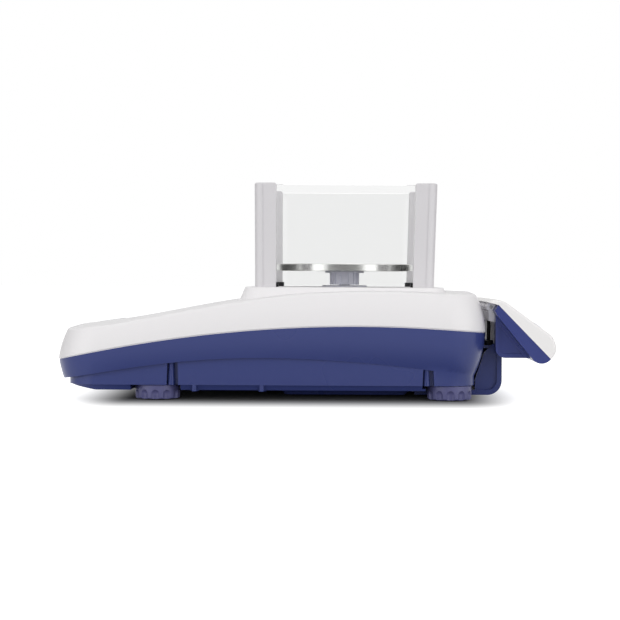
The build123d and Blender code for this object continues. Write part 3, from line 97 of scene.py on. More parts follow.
def add_camera():
    data = bpy.data.cameras.new("camera")
    data.lens = camera_lens
    data.shift_x, data.shift_y = camera_shift
    camera = bpy.data.objects.new("camera", data)
    bpy.context.scene.collection.objects.link(camera)
    turn = Euler((pi / 2, 0, -pi / 2)).to_matrix() @ Matrix.Rotation(camera_roll, 3, "Z")
    camera.matrix_world = Matrix.Translation((-camera_distance, -pan_forward, camera_height)) @ turn.to_4x4()
    bpy.context.scene.camera = camera


# Node helpers
class Graph:
    """A node tree that is filled from short calls."""

    def __init__(self, tree):
        self.tree = tree

    def node(self, kind, values=None, links=None, **settings):
        made = self.tree.nodes.new(kind)
        for key, value in settings.items():
            setattr(made, key, value)
        for key, value in (values or {}).items():
            made.inputs[key].default_value = value
        for key, source in (links or {}).items():
            self.tree.links.new(source, made.inputs[key])
        return made

    def math(self, operation, first, second=None, clamp=False):
        made = self.node("ShaderNodeMath", operation=operation, use_clamp=clamp)
        for place, value in enumerate((first, second)):
            if value is None:
                continue
            if isinstance(value, (int, float)):
                made.inputs[place].default_value = value
            else:
                self.tree.links.new(value, made.inputs[place])
        return made.outputs[0]

    def mapped(self, value, low, high, smooth=False):
        kind = "SMOOTHSTEP" if smooth else "LINEAR"
        made = self.node("ShaderNodeMapRange", {"From Min": low, "From Max": high}, interpolation_type=kind)
        self.tree.links.new(value, made.inputs["Value"])
        return made.outputs["Result"]


def new_group(name, inputs, outputs):
    tree = bpy.data.node_groups.new(name, "ShaderNodeTree")
    for title, kind, value in inputs:
        made = tree.interface.new_socket(title, in_out="INPUT", socket_type=kind)
        made.default_value = value
    for title, kind in outputs:
        tree.interface.new_socket(title, in_out="OUTPUT", socket_type=kind)
    graph = Graph(tree)
    return graph, graph.node("NodeGroupInput").outputs, graph.node("NodeGroupOutput")


def moulded_grain():
    """Fine spark-eroded texture of moulded plastic, and the slow unevenness of its gloss."""
    graph, given, out = new_group(
        "moulded_grain",
        [("Grain size", "NodeSocketFloat", 0.0006), ("Unevenness", "NodeSocketFloat", 0.06)],
        [("Height", "NodeSocketFloat"), ("Gloss shift", "NodeSocketFloat"), ("Tone", "NodeSocketFloat")],
    )
    place = graph.node("ShaderNodeTexCoord").outputs["Object"]
    scale = graph.math("DIVIDE", 1.0, given["Grain size"])
    grain = graph.node(
        "ShaderNodeTexNoise",
        {"Detail": 3.0, "Roughness": 0.6},
        {"Vector": place, "Scale": scale},
    )
    slow = graph.node("ShaderNodeTexNoise", {"Scale": 14.0, "Detail": 2.0}, {"Vector": place})
    graph.tree.links.new(grain.outputs["Fac"], out.inputs["Height"])
    swing = graph.math("MULTIPLY", graph.math("SUBTRACT", slow.outputs["Fac"], 0.5), given["Unevenness"])
    graph.tree.links.new(swing, out.inputs["Gloss shift"])
    fleck = graph.math("MULTIPLY", graph.math("SUBTRACT", grain.outputs["Fac"], 0.5), 0.05)
    graph.tree.links.new(graph.math("ADD", 1.0, fleck), out.inputs["Tone"])
    return graph.tree


def settled_dust():
    """Faint dust in soft patches on what faces up."""
    graph, given, out = new_group(
        "settled_dust",
        [("Colour", "NodeSocketColor", (1, 1, 1, 1)), ("Dust", "NodeSocketFloat", 0.06)],
        [("Colour", "NodeSocketColor"), ("Mask", "NodeSocketFloat")],
    )
    place = graph.node("ShaderNodeTexCoord").outputs["Object"]
    patches = graph.node(
        "ShaderNodeTexNoise",
        {"Scale": 30.0, "Detail": 4.0, "Roughness": 0.6},
        {"Vector": place},
    )
    normal = graph.node("ShaderNodeNewGeometry").outputs["Normal"]
    up = graph.node("ShaderNodeSeparateXYZ", links={0: normal}).outputs["Z"]
    facing = graph.mapped(up, 0.5, 1.0)
    mask = graph.math("MULTIPLY", facing, graph.mapped(patches.outputs["Fac"], 0.45, 0.75))
    amount = graph.math("MULTIPLY", mask, given["Dust"], clamp=True)
    mixed = graph.node("ShaderNodeMix", data_type="RGBA")
    mixed.inputs[7].default_value = (0.6, 0.58, 0.55, 1)
    graph.tree.links.new(amount, mixed.inputs[0])
    graph.tree.links.new(given["Colour"], mixed.inputs[6])
    graph.tree.links.new(mixed.outputs[2], out.inputs["Colour"])
    graph.tree.links.new(amount, out.inputs["Mask"])
    return graph.tree


def brush_lines():
    """Fine parallel lines of brushed or turned metal, along X."""
    graph, given, out = new_group(
        "brush_lines",
        [("Line width", "NodeSocketFloat", 0.0004), ("Depth", "NodeSocketFloat", 0.1)],
        [("Height", "NodeSocketFloat"), ("Roughness shift", "NodeSocketFloat")],
    )
    place = graph.node("ShaderNodeTexCoord").outputs["Object"]
    stretched = graph.node("ShaderNodeMapping", {"Scale": (0.02, 1.0, 1.0)}, {"Vector": place}).outputs[0]
    scale = graph.math("DIVIDE", 1.0, given["Line width"])
    lines = graph.node("ShaderNodeTexNoise", {"Detail": 2.0}, {"Vector": stretched, "Scale": scale})
    graph.tree.links.new(lines.outputs["Fac"], out.inputs["Height"])
    swing = graph.math("MULTIPLY", graph.math("SUBTRACT", lines.outputs["Fac"], 0.5), given["Depth"])
    graph.tree.links.new(swing, out.inputs["Roughness shift"])
    return graph.tree


groups = {"grain": moulded_grain(), "dust": settled_dust(), "brush": brush_lines()}


def new_material(name):
    made = bpy.data.materials.new(name)
    made.use_nodes = True
    made.node_tree.nodes.clear()
    graph = Graph(made.node_tree)
    return made, graph, graph.node("ShaderNodeOutputMaterial")


def tone_shift(graph, base, tone):
    """The base colour, lighter or darker by a tone that changes over the surface."""
    mixed = graph.node("ShaderNodeMix", data_type="RGBA", blend_type="MULTIPLY")
    mixed.inputs[0].default_value = 1.0
    mixed.inputs[6].default_value = (*base, 1)
    graph.tree.links.new(tone, mixed.inputs[7])
    return mixed.outputs[2]


def plastic(name, base, roughness, grain=0.0006, relief=0.00002, dust=0.04, coat=0.0, specular=0.5):
    """A moulded plastic or rubber, with its grain, uneven gloss and a trace of dust."""
    made, graph, out = new_material(name)
    texture = graph.node("ShaderNodeGroup", node_tree=groups["grain"])
    texture.inputs["Grain size"].default_value = grain
    dusty = graph.node("ShaderNodeGroup", node_tree=groups["dust"])
    dusty.inputs["Dust"].default_value = dust
    graph.tree.links.new(tone_shift(graph, base, texture.outputs["Tone"]), dusty.inputs["Colour"])
    gloss = graph.math("ADD", texture.outputs["Gloss shift"], roughness)
    gloss = graph.math("ADD", gloss, graph.math("MULTIPLY", dusty.outputs["Mask"], 0.5))
    bump = graph.node(
        "ShaderNodeBump",
        {"Distance": relief, "Strength": 0.5},
        {"Height": texture.outputs["Height"]},
    )
    skin = graph.node(
        "ShaderNodeBsdfPrincipled",
        {"Coat Weight": coat, "Specular IOR Level": specular, "Coat Roughness": 0.15},
        {"Base Color": dusty.outputs["Colour"], "Roughness": gloss, "Normal": bump.outputs[0]},
    )
    graph.tree.links.new(skin.outputs[0], out.inputs[0])
    return made


def metal(name, base, roughness, line=0.0004, depth=0.12, relief=0.00001, metallic=1.0):
    """Brushed, turned or plated metal."""
    made, graph, out = new_material(name)
    lines = graph.node("ShaderNodeGroup", node_tree=groups["brush"])
    lines.inputs["Line width"].default_value = line
    lines.inputs["Depth"].default_value = depth
    dusty = graph.node("ShaderNodeGroup", node_tree=groups["dust"])
    dusty.inputs["Dust"].default_value = 0.03
    tone = graph.math("ADD", lines.outputs["Roughness shift"], 1.0)
    graph.tree.links.new(tone_shift(graph, base, tone), dusty.inputs["Colour"])
    gloss = graph.math("ADD", lines.outputs["Roughness shift"], roughness)
    bump = graph.node(
        "ShaderNodeBump",
        {"Distance": relief, "Strength": 0.4},
        {"Height": lines.outputs["Height"]},
    )
    skin = graph.node(
        "ShaderNodeBsdfPrincipled",
        {"Metallic": metallic},
        {"Base Color": dusty.outputs["Colour"], "Roughness": gloss, "Normal": bump.outputs[0]},
    )
    graph.tree.links.new(skin.outputs[0], out.inputs[0])
    return made


def clear(name, base, roughness=0.0, ior=1.5):
    """Clear glass or plastic that lets the light through to what lies behind it."""
    made, graph, out = new_material(name)
    smears = graph.node("ShaderNodeGroup", node_tree=groups["grain"])
    smears.inputs["Grain size"].default_value = 0.02
    smears.inputs["Unevenness"].default_value = 0.01
    gloss = graph.math("ADD", smears.outputs["Gloss shift"], roughness, clamp=True)
    skin = graph.node(
        "ShaderNodeBsdfPrincipled",
        {"Base Color": (*base, 1), "Transmission Weight": 1.0, "IOR": ior},
        {"Roughness": gloss},
    )
    passing = graph.node("ShaderNodeBsdfTransparent", {"Color": (*base, 1)})
    path = graph.node("ShaderNodeLightPath").outputs
    mirrored = graph.math("SUBTRACT", path["Is Glossy Ray"], path["Is Transmission Ray"], clamp=True)
    bounced = graph.math("ADD", mirrored, path["Is Diffuse Ray"])
    straight = graph.math("ADD", path["Is Shadow Ray"], bounced, clamp=True)
    both = graph.node("ShaderNodeMixShader", links={0: straight, 1: skin.outputs[0], 2: passing.outputs[0]})
    graph.tree.links.new(both.outputs[0], out.inputs[0])
    return made


def circuit_board():
    """Green solder mask with paler tracks."""
    made, graph, out = new_material("circuit_board")
    place = graph.node("ShaderNodeTexCoord").outputs["Object"]
    tracks = graph.node(
        "ShaderNodeTexBrick",
        {
            "Scale": 60.0,
            "Mortar Size": 0.012,
            "Color1": (0.02, 0.17, 0.07, 1),
            "Color2": (0.02, 0.2, 0.08, 1),
            "Mortar": (0.05, 0.3, 0.12, 1),
        },
        {"Vector": place},
    )
    skin = graph.node(
        "ShaderNodeBsdfPrincipled",
        {"Roughness": 0.35},
        {"Base Color": tracks.outputs["Color"]},
    )
    graph.tree.links.new(skin.outputs[0], out.inputs[0])
    return made


def make_materials():
    return {
        "white_shell": plastic("white_shell", (0.84, 0.825, 0.835), 0.42, dust=0.02),
        "blue_base": plastic("blue_base", (0.036, 0.051, 0.19), 0.28, specular=0.3, relief=0.00003),
        "terminal_white": plastic("terminal_white", (0.88, 0.865, 0.86), 0.4, dust=0.02),
        "terminal_blue": plastic("terminal_blue", (0.036, 0.05, 0.205), 0.28, specular=0.3, relief=0.00003),
        # Painted light: the hinge grey is far paler than the hinge's own grey, to make up for the shade in
        # the narrow gap between housing and terminal
        "hinge_grey": plastic("hinge_grey", (0.93, 0.92, 0.97), 0.4),
        "foot_plastic": plastic("foot_plastic", (0.095, 0.095, 0.23), 0.38),
        "rubber_black": plastic("rubber_black", (0.018, 0.018, 0.02), 0.62, grain=0.0004, specular=0.35),
        "post_grey": plastic("post_grey", (0.68, 0.665, 0.685), 0.42),
        "glass": clear("glass", (0.995, 0.998, 0.996)),
        "pan_steel": metal("pan_steel", (0.66, 0.66, 0.65), 0.27),
        # Painted light: the column grey is far paler than the column's own grey, to make up for the shade
        # under the pan
        "column_grey": plastic("column_grey", (0.81, 0.81, 0.91), 0.3, coat=0.3),
        "brass": metal("brass", (0.8, 0.6, 0.28), 0.28),
        "plate_aluminium": metal("plate_aluminium", (0.75, 0.76, 0.78), 0.38, line=0.0008),
        "steel_screws": metal("steel_screws", (0.6, 0.6, 0.6), 0.32),
        "magnet_steel": metal("magnet_steel", (0.4, 0.41, 0.43), 0.3),
        "board_green": circuit_board(),
        "connector_black": plastic("connector_black", (0.02, 0.02, 0.022), 0.3),
        "connector_metal": metal("connector_metal", (0.5, 0.5, 0.49), 0.36),
        "level_ring": plastic("level_ring", (0.8, 0.8, 0.81), 0.4),
        "level_fluid": clear("level_fluid", (0.72, 0.88, 0.25), ior=1.4),
        "window": clear("window", (0.9, 0.92, 0.93), ior=1.49),
        "lcd": plastic("lcd", (0.34, 0.4, 0.3), 0.3, relief=0.0),
        "key_grey": plastic("key_grey", (0.4, 0.42, 0.5), 0.45),
        "key_blue": plastic("key_blue", (0.05, 0.07, 0.24), 0.42),
        "mat_rubber": plastic("mat_rubber", (0.6, 0.6, 0.6), 0.6),
        "digit_black": plastic("digit_black", (0.02, 0.022, 0.02), 0.5, relief=0.0),
        "print_white": plastic("print_white", (0.8, 0.8, 0.82), 0.5, relief=0.0),
        "bubble": clear("bubble", (0.98, 1.0, 0.9), ior=1.05),
    }


materials = make_materials()


# Terminal face: its frame has x across, y up the slope and z out of the face
face_top = Vector((0, -0.1656, 0.0810))
face_bottom = Vector((0, -0.2006, 0.0556))
window_depth = 0.0016
lcd_depth = 0.0022
window_up_face = 0.0084
window_size = (0.104, 0.019)
window_ledge = 0.0016
key_names = ("on_off", "mode", "cal", "count", "print", "tare")
key_pitch = 0.024
key_up_face = -0.0112
key_rise = 0.001

# Digits of the display
digit_height = 0.0108
digit_width = 0.0062
digit_pitch = 0.0094
digit_lean = radians(6)
segment_width = 0.0014
segment_gap = 0.0003
digit_segments = {"0": "abcdef"}
last_digit_pitches = 1.2
point_pitches = 0.44
border_width = 0.0015
reading = ("0", ".", "0", "0")

# Print on the keys
print_thickness = 0.00006
sign_size = 0.0042
sign_line = 0.0005

# Belly of the base housing: across, forward and height
weld_distance = 0.000005
side_reach = 0.1
pad_half = 0.0623
pad_rear = -0.0221
belly_rear = -0.141
belly_front = 0.136
belly_height = 0.0084
foot_half = 0.0745
foot_forwards = (-0.1233, 0.1187)
well_half = 0.0206
well_height = 0.01265
nub_forwards = (-0.0914, -0.0362)
nub_half = 0.0032
nub_height = 0.0076

# Draft shield, drawn out towards the top: run of a post along y for each metre of height
shield_slope_front = -0.0313
shield_slope_rear = 0.0095

# Level and data port
level_mark_radius = 0.0040
level_bubble_radius = 0.0026
level_bubble_height = 0.0009
level_rim = 0.001
level_proud = 0.0004
bubble_sink = 1.6
above_housing = 0.3
pin_pitch = 0.00277
pin_rows = ((0.00142, 5), (-0.00142, 4))
pin_radius = 0.0005
pin_reach = 0.0048
pin_recess = 0.0006
pin_bevel = pin_radius / 2
port_mouth = (0.0126, 0.0062)
port_depth = 0.0052
port_floor = 0.0008
port_floor_bevel = port_floor / 4


def face_frame(across=0.0, up=0.0, out=0.0):
    """The terminal face's frame, with its origin moved within it."""
    up_slope = (face_top - face_bottom).normalized()
    side = Vector((1, 0, 0))
    outward = side.cross(up_slope)
    middle = (face_top + face_bottom) / 2 + side * across + up_slope * up + outward * out
    turn = Matrix((side, up_slope, outward)).transposed()
    return Matrix.Translation(middle) @ turn.to_4x4()


def drop_selection():
    bpy.ops.object.select_all(action="DESELECT")


def keep_only(piece):
    drop_selection()
    piece.select_set(True)
    bpy.context.view_layer.objects.active = piece


def joined(pieces):
    """One piece out of several."""
    drop_selection()
    for piece in pieces:
        piece.select_set(True)
    bpy.context.view_layer.objects.active = pieces[0]
    if len(pieces) > 1:
        bpy.ops.object.join()
    return bpy.context.active_object


def seat(piece, matrix):
    """Puts a piece at its place, with the place in its mesh."""
    keep_only(piece)
    piece.matrix_world = matrix @ piece.matrix_world
    bpy.ops.object.transform_apply(location=True, rotation=True, scale=True)


def deliver(piece, name, finish, body, smooth=radians(35)):
    """Names a finished piece, gives it its material and lets it ride on its body."""
    keep_only(piece)
    bpy.ops.object.transform_apply(location=True, rotation=True, scale=True)
    bpy.ops.object.shade_smooth_by_angle(angle=smooth)
    piece.name = name
    piece.data.name = name
    piece.data.materials.clear()
    piece.data.materials.append(materials[finish])
    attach(piece, body)
    return piece


def thicken(piece, thickness):
    """Turns a flat outline into a plate that rises from it."""
    keep_only(piece)
    bpy.ops.object.mode_set(mode="EDIT")
    bpy.ops.mesh.select_all(action="SELECT")
    bpy.ops.mesh.extrude_region_move(TRANSFORM_OT_translate={"value": (0, 0, thickness)})
    bpy.ops.mesh.select_all(action="SELECT")
    bpy.ops.mesh.normals_make_consistent(inside=False)
    bpy.ops.object.mode_set(mode="OBJECT")
    return piece


def flat_ring(outer, inner, thickness, steps=48):
    """A flat ring around the origin."""
    drop_selection()
    bpy.ops.mesh.primitive_circle_add(vertices=steps, radius=outer, fill_type="NGON")
    ring = bpy.context.active_object
    bpy.ops.object.mode_set(mode="EDIT")
    bpy.ops.mesh.select_all(action="SELECT")
    bpy.ops.mesh.inset(thickness=outer - inner)
    bpy.ops.mesh.delete(type="FACE")
    bpy.ops.object.mode_set(mode="OBJECT")
    return thicken(ring, thickness)


def flat_bar(length, width, thickness, point=0.5):
    """A bar along x with pointed or squarer ends."""
    drop_selection()
    bpy.ops.mesh.primitive_plane_add(size=1.0)
    bar = bpy.context.active_object
    bar.scale = (length - width * point * 2, width, 1)
    bpy.ops.object.transform_apply(location=False, rotation=False, scale=True)
    bpy.ops.object.mode_set(mode="EDIT")
    bpy.ops.mesh.select_mode(type="EDGE")
    for side in (-1, 1):
        bpy.ops.mesh.select_all(action="DESELECT")
        bpy.ops.object.mode_set(mode="OBJECT")
        for edge in bar.data.edges:
            ends = [bar.data.vertices[place].co.x * side for place in edge.vertices]
            edge.select = min(ends) > 0 and abs(ends[0] - ends[1]) < 1e-9
        bpy.ops.object.mode_set(mode="EDIT")
        bpy.ops.mesh.extrude_region_move(TRANSFORM_OT_translate={"value": (side * width * point, 0, 0)})
        bpy.ops.mesh.merge(type="CENTER")
    bpy.ops.object.mode_set(mode="OBJECT")
    return thicken(bar, thickness)


def move_to(piece, x, y, turn=0.0):
    seat(piece, Matrix.Translation((x, y, 0)) @ Matrix.Rotation(turn, 4, "Z"))
    return piece


def digit(character, across):
    """The lit segments of one seven-segment digit."""
    half_w, half_h = digit_width / 2, digit_height / 2
    places = {
        "a": (0, half_h, 0), "d": (0, -half_h, 0),
        "b": (half_w, half_h / 2, pi / 2), "c": (half_w, -half_h / 2, pi / 2),
        "f": (-half_w, half_h / 2, pi / 2), "e": (-half_w, -half_h / 2, pi / 2),
    }
    made = []
    for letter in digit_segments[character]:
        x, y, turn = places[letter]
        run = digit_width if turn == 0 else half_h
        bar = flat_bar(run - segment_gap, segment_width, print_thickness)
        made.append(move_to(bar, x + across + y * digit_lean, y, turn))
    return made


def add_display():
    """Reading and dark border behind the display window."""
    made = []
    across = digit_pitch * last_digit_pitches
    for character in reversed(reading):
        if character == ".":
            made.append(move_to(flat_bar(segment_width, segment_width, print_thickness, 0.2),
                                across + digit_pitch * point_pitches, -digit_height / 2))
            continue
        made += digit(character, across)
        across -= digit_pitch
    digits = joined(made)
    seat(digits, face_frame(up=window_up_face, out=-lcd_depth + print_thickness))
    deliver(digits, "display_digits", "digit_black", "terminal")
    drop_selection()
    bpy.ops.mesh.primitive_plane_add(size=1.0)
    border = bpy.context.active_object
    border.scale = (window_size[0] - 2 * window_ledge, window_size[1] - 2 * window_ledge, 1)
    bpy.ops.object.transform_apply(location=False, rotation=False, scale=True)
    bpy.ops.object.mode_set(mode="EDIT")
    bpy.ops.mesh.select_all(action="SELECT")
    bpy.ops.mesh.inset(thickness=border_width)
    bpy.ops.mesh.delete(type="FACE")
    bpy.ops.object.mode_set(mode="OBJECT")
    thicken(border, print_thickness * 2)
    seat(border, face_frame(up=window_up_face, out=-window_depth - print_thickness * 4))
    deliver(border, "display_border", "connector_black", "terminal")


def key_sign(name):
    """The sign printed on a key."""
    half = sign_size / 2
    line = sign_line
    if name == "on_off":
        ring = flat_ring(half * 0.85, half * 0.85 - line, print_thickness)
        return [ring, move_to(flat_bar(half, line, print_thickness, 0.1), 0, half * 0.55, pi / 2)]
    if name == "mode":
        return [move_to(flat_bar(sign_size, line, print_thickness, 0.1), 0, shift * half * 0.5)
                for shift in (-1, 0, 1)]
    if name == "cal":
        return [move_to(flat_bar(sign_size, line, print_thickness, 0.1), 0, -half * 0.6),
                move_to(flat_bar(sign_size * 0.5, line * 3, print_thickness, 0.3), 0, -half * 0.1),
                move_to(flat_bar(line * 2, line * 2, print_thickness, 0.4), 0, half * 0.65)]
    if name == "count":
        return [move_to(flat_bar(line * 2, line * 2, print_thickness, 0.4), x * half * 0.7, y * half * 0.45)
                for x in (-1, 0, 1) for y in (-1, 1)]
    if name == "print":
        return [move_to(flat_bar(sign_size, line * 4, print_thickness, 0.1), 0, -half * 0.1),
                move_to(flat_bar(sign_size * 0.6, line * 1.4, print_thickness, 0.1), 0, half * 0.75)]
    bars = [
        move_to(flat_bar(half * 0.9, line, print_thickness, 0.1), side * half * 1.1, 0)
        for side in (-1, 1)
    ]
    return bars + [flat_ring(half * 0.5, half * 0.5 - line, print_thickness)]


def add_key_signs():
    for place, name in enumerate(key_names):
        across = (place - (len(key_names) - 1) / 2) * key_pitch
        sign = joined(key_sign(name))
        seat(sign, face_frame(across, key_up_face, key_rise))
        deliver(sign, "sign_" + name, "print_white", "key_" + name)


def node_copy(name):
    """A copy of a CAD node with its triangles joined, ready to be shaped."""
    drop_selection()
    piece = frame["nodes"][name].copy()
    piece.data = piece.data.copy()
    bpy.context.scene.collection.objects.link(piece)
    piece.parent = None
    keep_only(piece)
    bpy.ops.object.mode_set(mode="EDIT")
    bpy.ops.mesh.select_all(action="SELECT")
    bpy.ops.mesh.remove_doubles(threshold=weld_distance)
    bpy.ops.object.mode_set(mode="OBJECT")
    bpy.ops.mesh.customdata_custom_splitnormals_clear()
    return piece


def take_place(piece, node, name, finish, body):
    """Hands a shaped copy over as the piece that shows in its node's place."""
    deliver(piece, name, finish, body)
    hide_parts(node)


def block(low, high):
    """A block between two corners, each given as across, forward and height."""
    drop_selection()
    bpy.ops.mesh.primitive_cube_add(size=1.0)
    made = bpy.context.active_object
    size = [abs(b - a) for a, b in zip(low, high)]
    middle = [(a + b) / 2 for a, b in zip(low, high)]
    made.matrix_world = Matrix.Translation((middle[0], -middle[1], middle[2])) @ Matrix.Diagonal((*size, 1))
    bpy.ops.object.transform_apply(location=True, rotation=True, scale=True)
    return made


def cut_away(piece, cutters):
    """Cuts blocks out of a piece, one after the other."""
    for cutter in cutters:
        keep_only(piece)
        change = piece.modifiers.new("cut", "BOOLEAN")
        change.operation = "DIFFERENCE"
        change.solver = "EXACT"
        change.object = cutter
        bpy.ops.object.modifier_apply(modifier=change.name)
        bpy.data.objects.remove(cutter)


def open_belly():
    """The base housing with its belly set back, and its foot wells open to the sides."""
    base = node_copy("base_housing")
    cutters = []
    edges = [belly_rear]
    for forward in nub_forwards:
        edges += [forward - nub_half, forward + nub_half]
    edges.append(belly_front)
    for side in (-1, 1):
        for place, (start, end) in enumerate(zip(edges, edges[1:])):
            height = nub_height if place % 2 else belly_height
            cutters.append(block((side * pad_half, start, 0), (side * side_reach, end, height)))
        for forward in foot_forwards:
            cutters.append(block((side * foot_half, forward - well_half, 0),
                                 (side * side_reach, forward + well_half, well_height)))
    cutters.append(block((-pad_half, belly_rear, 0), (pad_half, pad_rear, belly_height)))
    cut_away(base, cutters)
    take_place(base, "base_housing", "base_shell", "blue_base", "root")


def spread_shield():
    """Posts and panes of the draft shield, which open a little towards the top, more so in front."""
    corners = ("rear_right", "rear_left", "front_left", "front_right")
    names = ["shield_post_" + corner for corner in corners]
    names += ["glass_" + side for side in ("rear", "left", "front", "right")]
    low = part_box("shield_post_front_left")[0]
    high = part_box("shield_post_rear_left")[1]
    for name in names:
        piece = node_copy(name)
        for vertex in piece.data.vertices:
            share = (vertex.co.y - low.y) / (high.y - low.y)
            slope = shield_slope_front + share * (shield_slope_rear - shield_slope_front)
            vertex.co.y += slope * (vertex.co.z - low.z)
        finish = "glass" if name.startswith("glass") else "post_grey"
        new_name = name.replace("glass_", "pane_").replace("shield_post_", "post_")
        take_place(piece, name, new_name, finish, "draft_shield")


def housing_height(y):
    """Height of the top housing's middle at a place along y."""
    found, place, _, _ = frame["nodes"]["top_housing"].ray_cast((0, y, above_housing), (0, 0, -1))
    return place.z if found else 0.0


def add_level():
    """Level ring that follows the housing's slope, its vial, the bubble and the circle for it."""
    low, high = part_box("level_ring")
    front_height, rear_height = housing_height(low.y - level_rim), housing_height(high.y + level_rim)
    ring = node_copy("level_ring")
    for vertex in ring.data.vertices:
        share = (vertex.co.y - low.y) / (high.y - low.y)
        drop = high.z - level_proud - (front_height + share * (rear_height - front_height))
        if vertex.co.z > (low.z + high.z) / 2:
            vertex.co.z -= drop
    take_place(ring, "level_ring", "level_bezel", "level_ring", "root")
    ring_rear = rear_height + level_proud
    low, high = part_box("level_vial")
    vial = node_copy("level_vial")
    for vertex in vial.data.vertices:
        vertex.co.z = low.z + (vertex.co.z - low.z) * (ring_rear - low.z) / (high.z - low.z)
    take_place(vial, "level_vial", "level_glass", "level_fluid", "root")
    high = Vector((high.x, high.y, ring_rear))
    middle = (low + high) / 2
    mark = flat_ring(level_mark_radius, level_mark_radius - sign_line, print_thickness)
    seat(mark, Matrix.Translation((middle.x, middle.y, high.z - print_thickness * 2)))
    deliver(mark, "level_mark", "connector_black", "root")
    drop_selection()
    bpy.ops.mesh.primitive_uv_sphere_add(segments=32, ring_count=16, radius=level_bubble_radius)
    bubble = bpy.context.active_object
    bubble.scale = (1, 1, level_bubble_height / level_bubble_radius)
    seat(bubble, Matrix.Translation((middle.x, middle.y, high.z - level_bubble_height * bubble_sink)))
    deliver(bubble, "level_bubble", "bubble", "root", smooth=radians(180))


def open_port():
    """The data port's shell with its mouth open, an insulator at the bottom and nine contact pins."""
    low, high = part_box("serial_port")
    middle = (low + high) / 2
    half_w, half_h = port_mouth[0] / 2, port_mouth[1] / 2
    shell = node_copy("serial_port")
    mouth = block((middle.x - half_w, -high.y - port_depth, middle.z - half_h),
                  (middle.x + half_w, -high.y + port_depth, middle.z + half_h))
    cut_away(shell, [mouth])
    take_place(shell, "serial_port", "port_shell", "connector_metal", "root")
    floor_forward = -high.y + port_depth
    insulator = block((middle.x - half_w, floor_forward - port_floor, middle.z - half_h),
                      (middle.x + half_w, floor_forward, middle.z + half_h))
    keep_only(insulator)
    bpy.ops.object.mode_set(mode="EDIT")
    bpy.ops.mesh.select_all(action="SELECT")
    bpy.ops.mesh.bevel(offset=port_floor_bevel, segments=1)
    bpy.ops.object.mode_set(mode="OBJECT")
    deliver(insulator, "port_insulator", "connector_black", "root")
    made = []
    for height, count in pin_rows:
        for place in range(count):
            drop_selection()
            bpy.ops.mesh.primitive_cylinder_add(vertices=16, radius=pin_radius, depth=pin_reach)
            pin = bpy.context.active_object
            keep_only(pin)
            bpy.ops.object.mode_set(mode="EDIT")
            bpy.ops.mesh.select_all(action="SELECT")
            bpy.ops.mesh.bevel(offset=pin_bevel, segments=2)
            bpy.ops.object.mode_set(mode="OBJECT")
            across = (place - (count - 1) / 2) * pin_pitch
            spot = (middle.x + across, high.y - pin_reach / 2 - pin_recess, middle.z + height)
            seat(pin, Matrix.Translation(spot) @ Matrix.Rotation(pi / 2, 4, "X"))
            made.append(pin)
    deliver(joined(made), "port_pins", "brass", "root")


def dress_nodes():
    """Gives each CAD node the material of its slot."""
    for entry in frame["record"]["subparts"]:
        node = frame["nodes"][entry["node"]]
        made = materials[entry["material_slot"]]
        if not node.material_slots:
            node.data.materials.append(made)
        for place in node.material_slots:
            place.material = made


def seen_directly(graph):
    """One for camera, glossy and transmitted rays, else zero."""
    path = graph.node("ShaderNodeLightPath").outputs
    total = graph.math("ADD", path["Is Camera Ray"], path["Is Glossy Ray"])
    return graph.math("ADD", total, path["Is Transmission Ray"], clamp=True)


def add_floor():
    bpy.ops.mesh.primitive_plane_add(size=30.0)
    floor = bpy.context.active_object
    floor.name = "floor"
    made, graph, out = new_material("floor")
    place = graph.node("ShaderNodeTexCoord").outputs["Object"]
    steps = (
        ("SUBTRACT", (*shade_middle, 0)),
        ("ABSOLUTE", None),
        ("SUBTRACT", (*shade_half, 0)),
        ("MAXIMUM", (0, 0, 0)),
        ("DIVIDE", (*shade_fade, 1)),
        ("LENGTH", None),
    )
    for operation, value in steps:
        made_step = graph.node("ShaderNodeVectorMath", links={0: place}, operation=operation)
        if value:
            made_step.inputs[1].default_value = value
        place = made_step.outputs["Value" if operation == "LENGTH" else "Vector"]
    glow = graph.mapped(place, 0.0, 1.0, smooth=True)
    # Painted shadow: the floor's colour is darker inside the oblong than around it
    tone = graph.node("ShaderNodeMix", {2: floor_painted_shadow_tone, 3: floor_far_tone}, {0: glow}, data_type="FLOAT")
    paper = graph.node("ShaderNodeBsdfDiffuse", links={"Color": tone.outputs[0]})
    strength = graph.math("MULTIPLY", glow, seen_directly(graph))
    shine = graph.node("ShaderNodeEmission", {"Color": (1, 1, 1, 1)}, {"Strength": strength})
    total = graph.node("ShaderNodeAddShader", links={0: paper.outputs[0], 1: shine.outputs[0]})
    graph.tree.links.new(total.outputs[0], out.inputs[0])
    floor.data.materials.append(made)


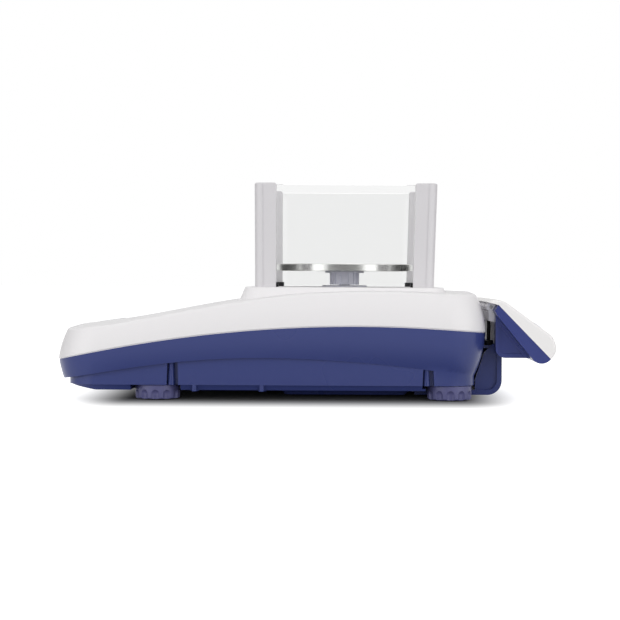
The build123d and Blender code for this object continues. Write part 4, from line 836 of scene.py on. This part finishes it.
def add_world():
    world = bpy.data.worlds.new("studio")
    bpy.context.scene.world = world
    world.use_nodes = True
    world.node_tree.nodes.clear()
    graph = Graph(world.node_tree)
    out = graph.node("ShaderNodeOutputWorld")
    sky = graph.node("ShaderNodeBackground", {"Color": (1, 1, 1, 1), "Strength": sky_level})
    white = graph.node("ShaderNodeBackground", {"Color": (1, 1, 1, 1), "Strength": 1.0})
    both = graph.node(
        "ShaderNodeMixShader",
        links={0: seen_directly(graph), 1: sky.outputs[0], 2: white.outputs[0]},
    )
    graph.tree.links.new(both.outputs[0], out.inputs[0])


def add_lamp(name, place, target, size, power, glossy=True):
    data = bpy.data.lights.new(name, "AREA")
    data.shape = "RECTANGLE"
    data.size, data.size_y = size
    data.energy = power
    lamp = bpy.data.objects.new(name, data)
    bpy.context.scene.collection.objects.link(lamp)
    lamp.location = place
    lamp.rotation_euler = (Vector(target) - Vector(place)).to_track_quat("-Z", "Y").to_euler()
    lamp.visible_glossy = glossy


def add_card(name, place, size, turn):
    """A dark card beside the table, which only gloss and metal see."""
    bpy.ops.mesh.primitive_plane_add(size=1.0, location=place, rotation=(pi / 2, 0, turn))
    card = bpy.context.active_object
    card.name = name
    card.scale = (size[0], size[1], 1)
    made, graph, out = new_material(name)
    paper = graph.node("ShaderNodeBsdfDiffuse", {"Color": (card_tone, card_tone, card_tone, 1)})
    graph.tree.links.new(paper.outputs[0], out.inputs[0])
    card.data.materials.append(made)
    card.visible_camera = False
    card.visible_diffuse = False
    card.visible_transmission = False
    card.visible_shadow = False


def add_light():
    add_world()
    add_lamp("overhead", overhead_place, upper_aim, overhead_size, overhead_power)
    add_lamp("side", side_place, lower_aim, side_size, side_power, glossy=False)
    for name, along in strip_along.items():
        add_lamp(name, (strip_across, along, strip_height), upper_aim, strip_size, strip_power)
    for name, along in fill_along.items():
        place = (fill_across, along, fill_height)
        add_lamp(name, place, lower_aim, fill_size, fill_power, glossy=False)
    add_card("card_left", left_card_place, left_card_size, pi / 2)
    add_card("card_front", (end_card_across, -end_card_along, end_card_height), end_card_size, 0)
    add_card("card_rear", (end_card_across, end_card_along, end_card_height), end_card_size, 0)


bpy.context.scene.view_settings.view_transform = "Standard"
add_camera()
add_floor()
add_light()
dress_nodes()
open_belly()
spread_shield()
add_display()
add_key_signs()
add_level()
open_port()
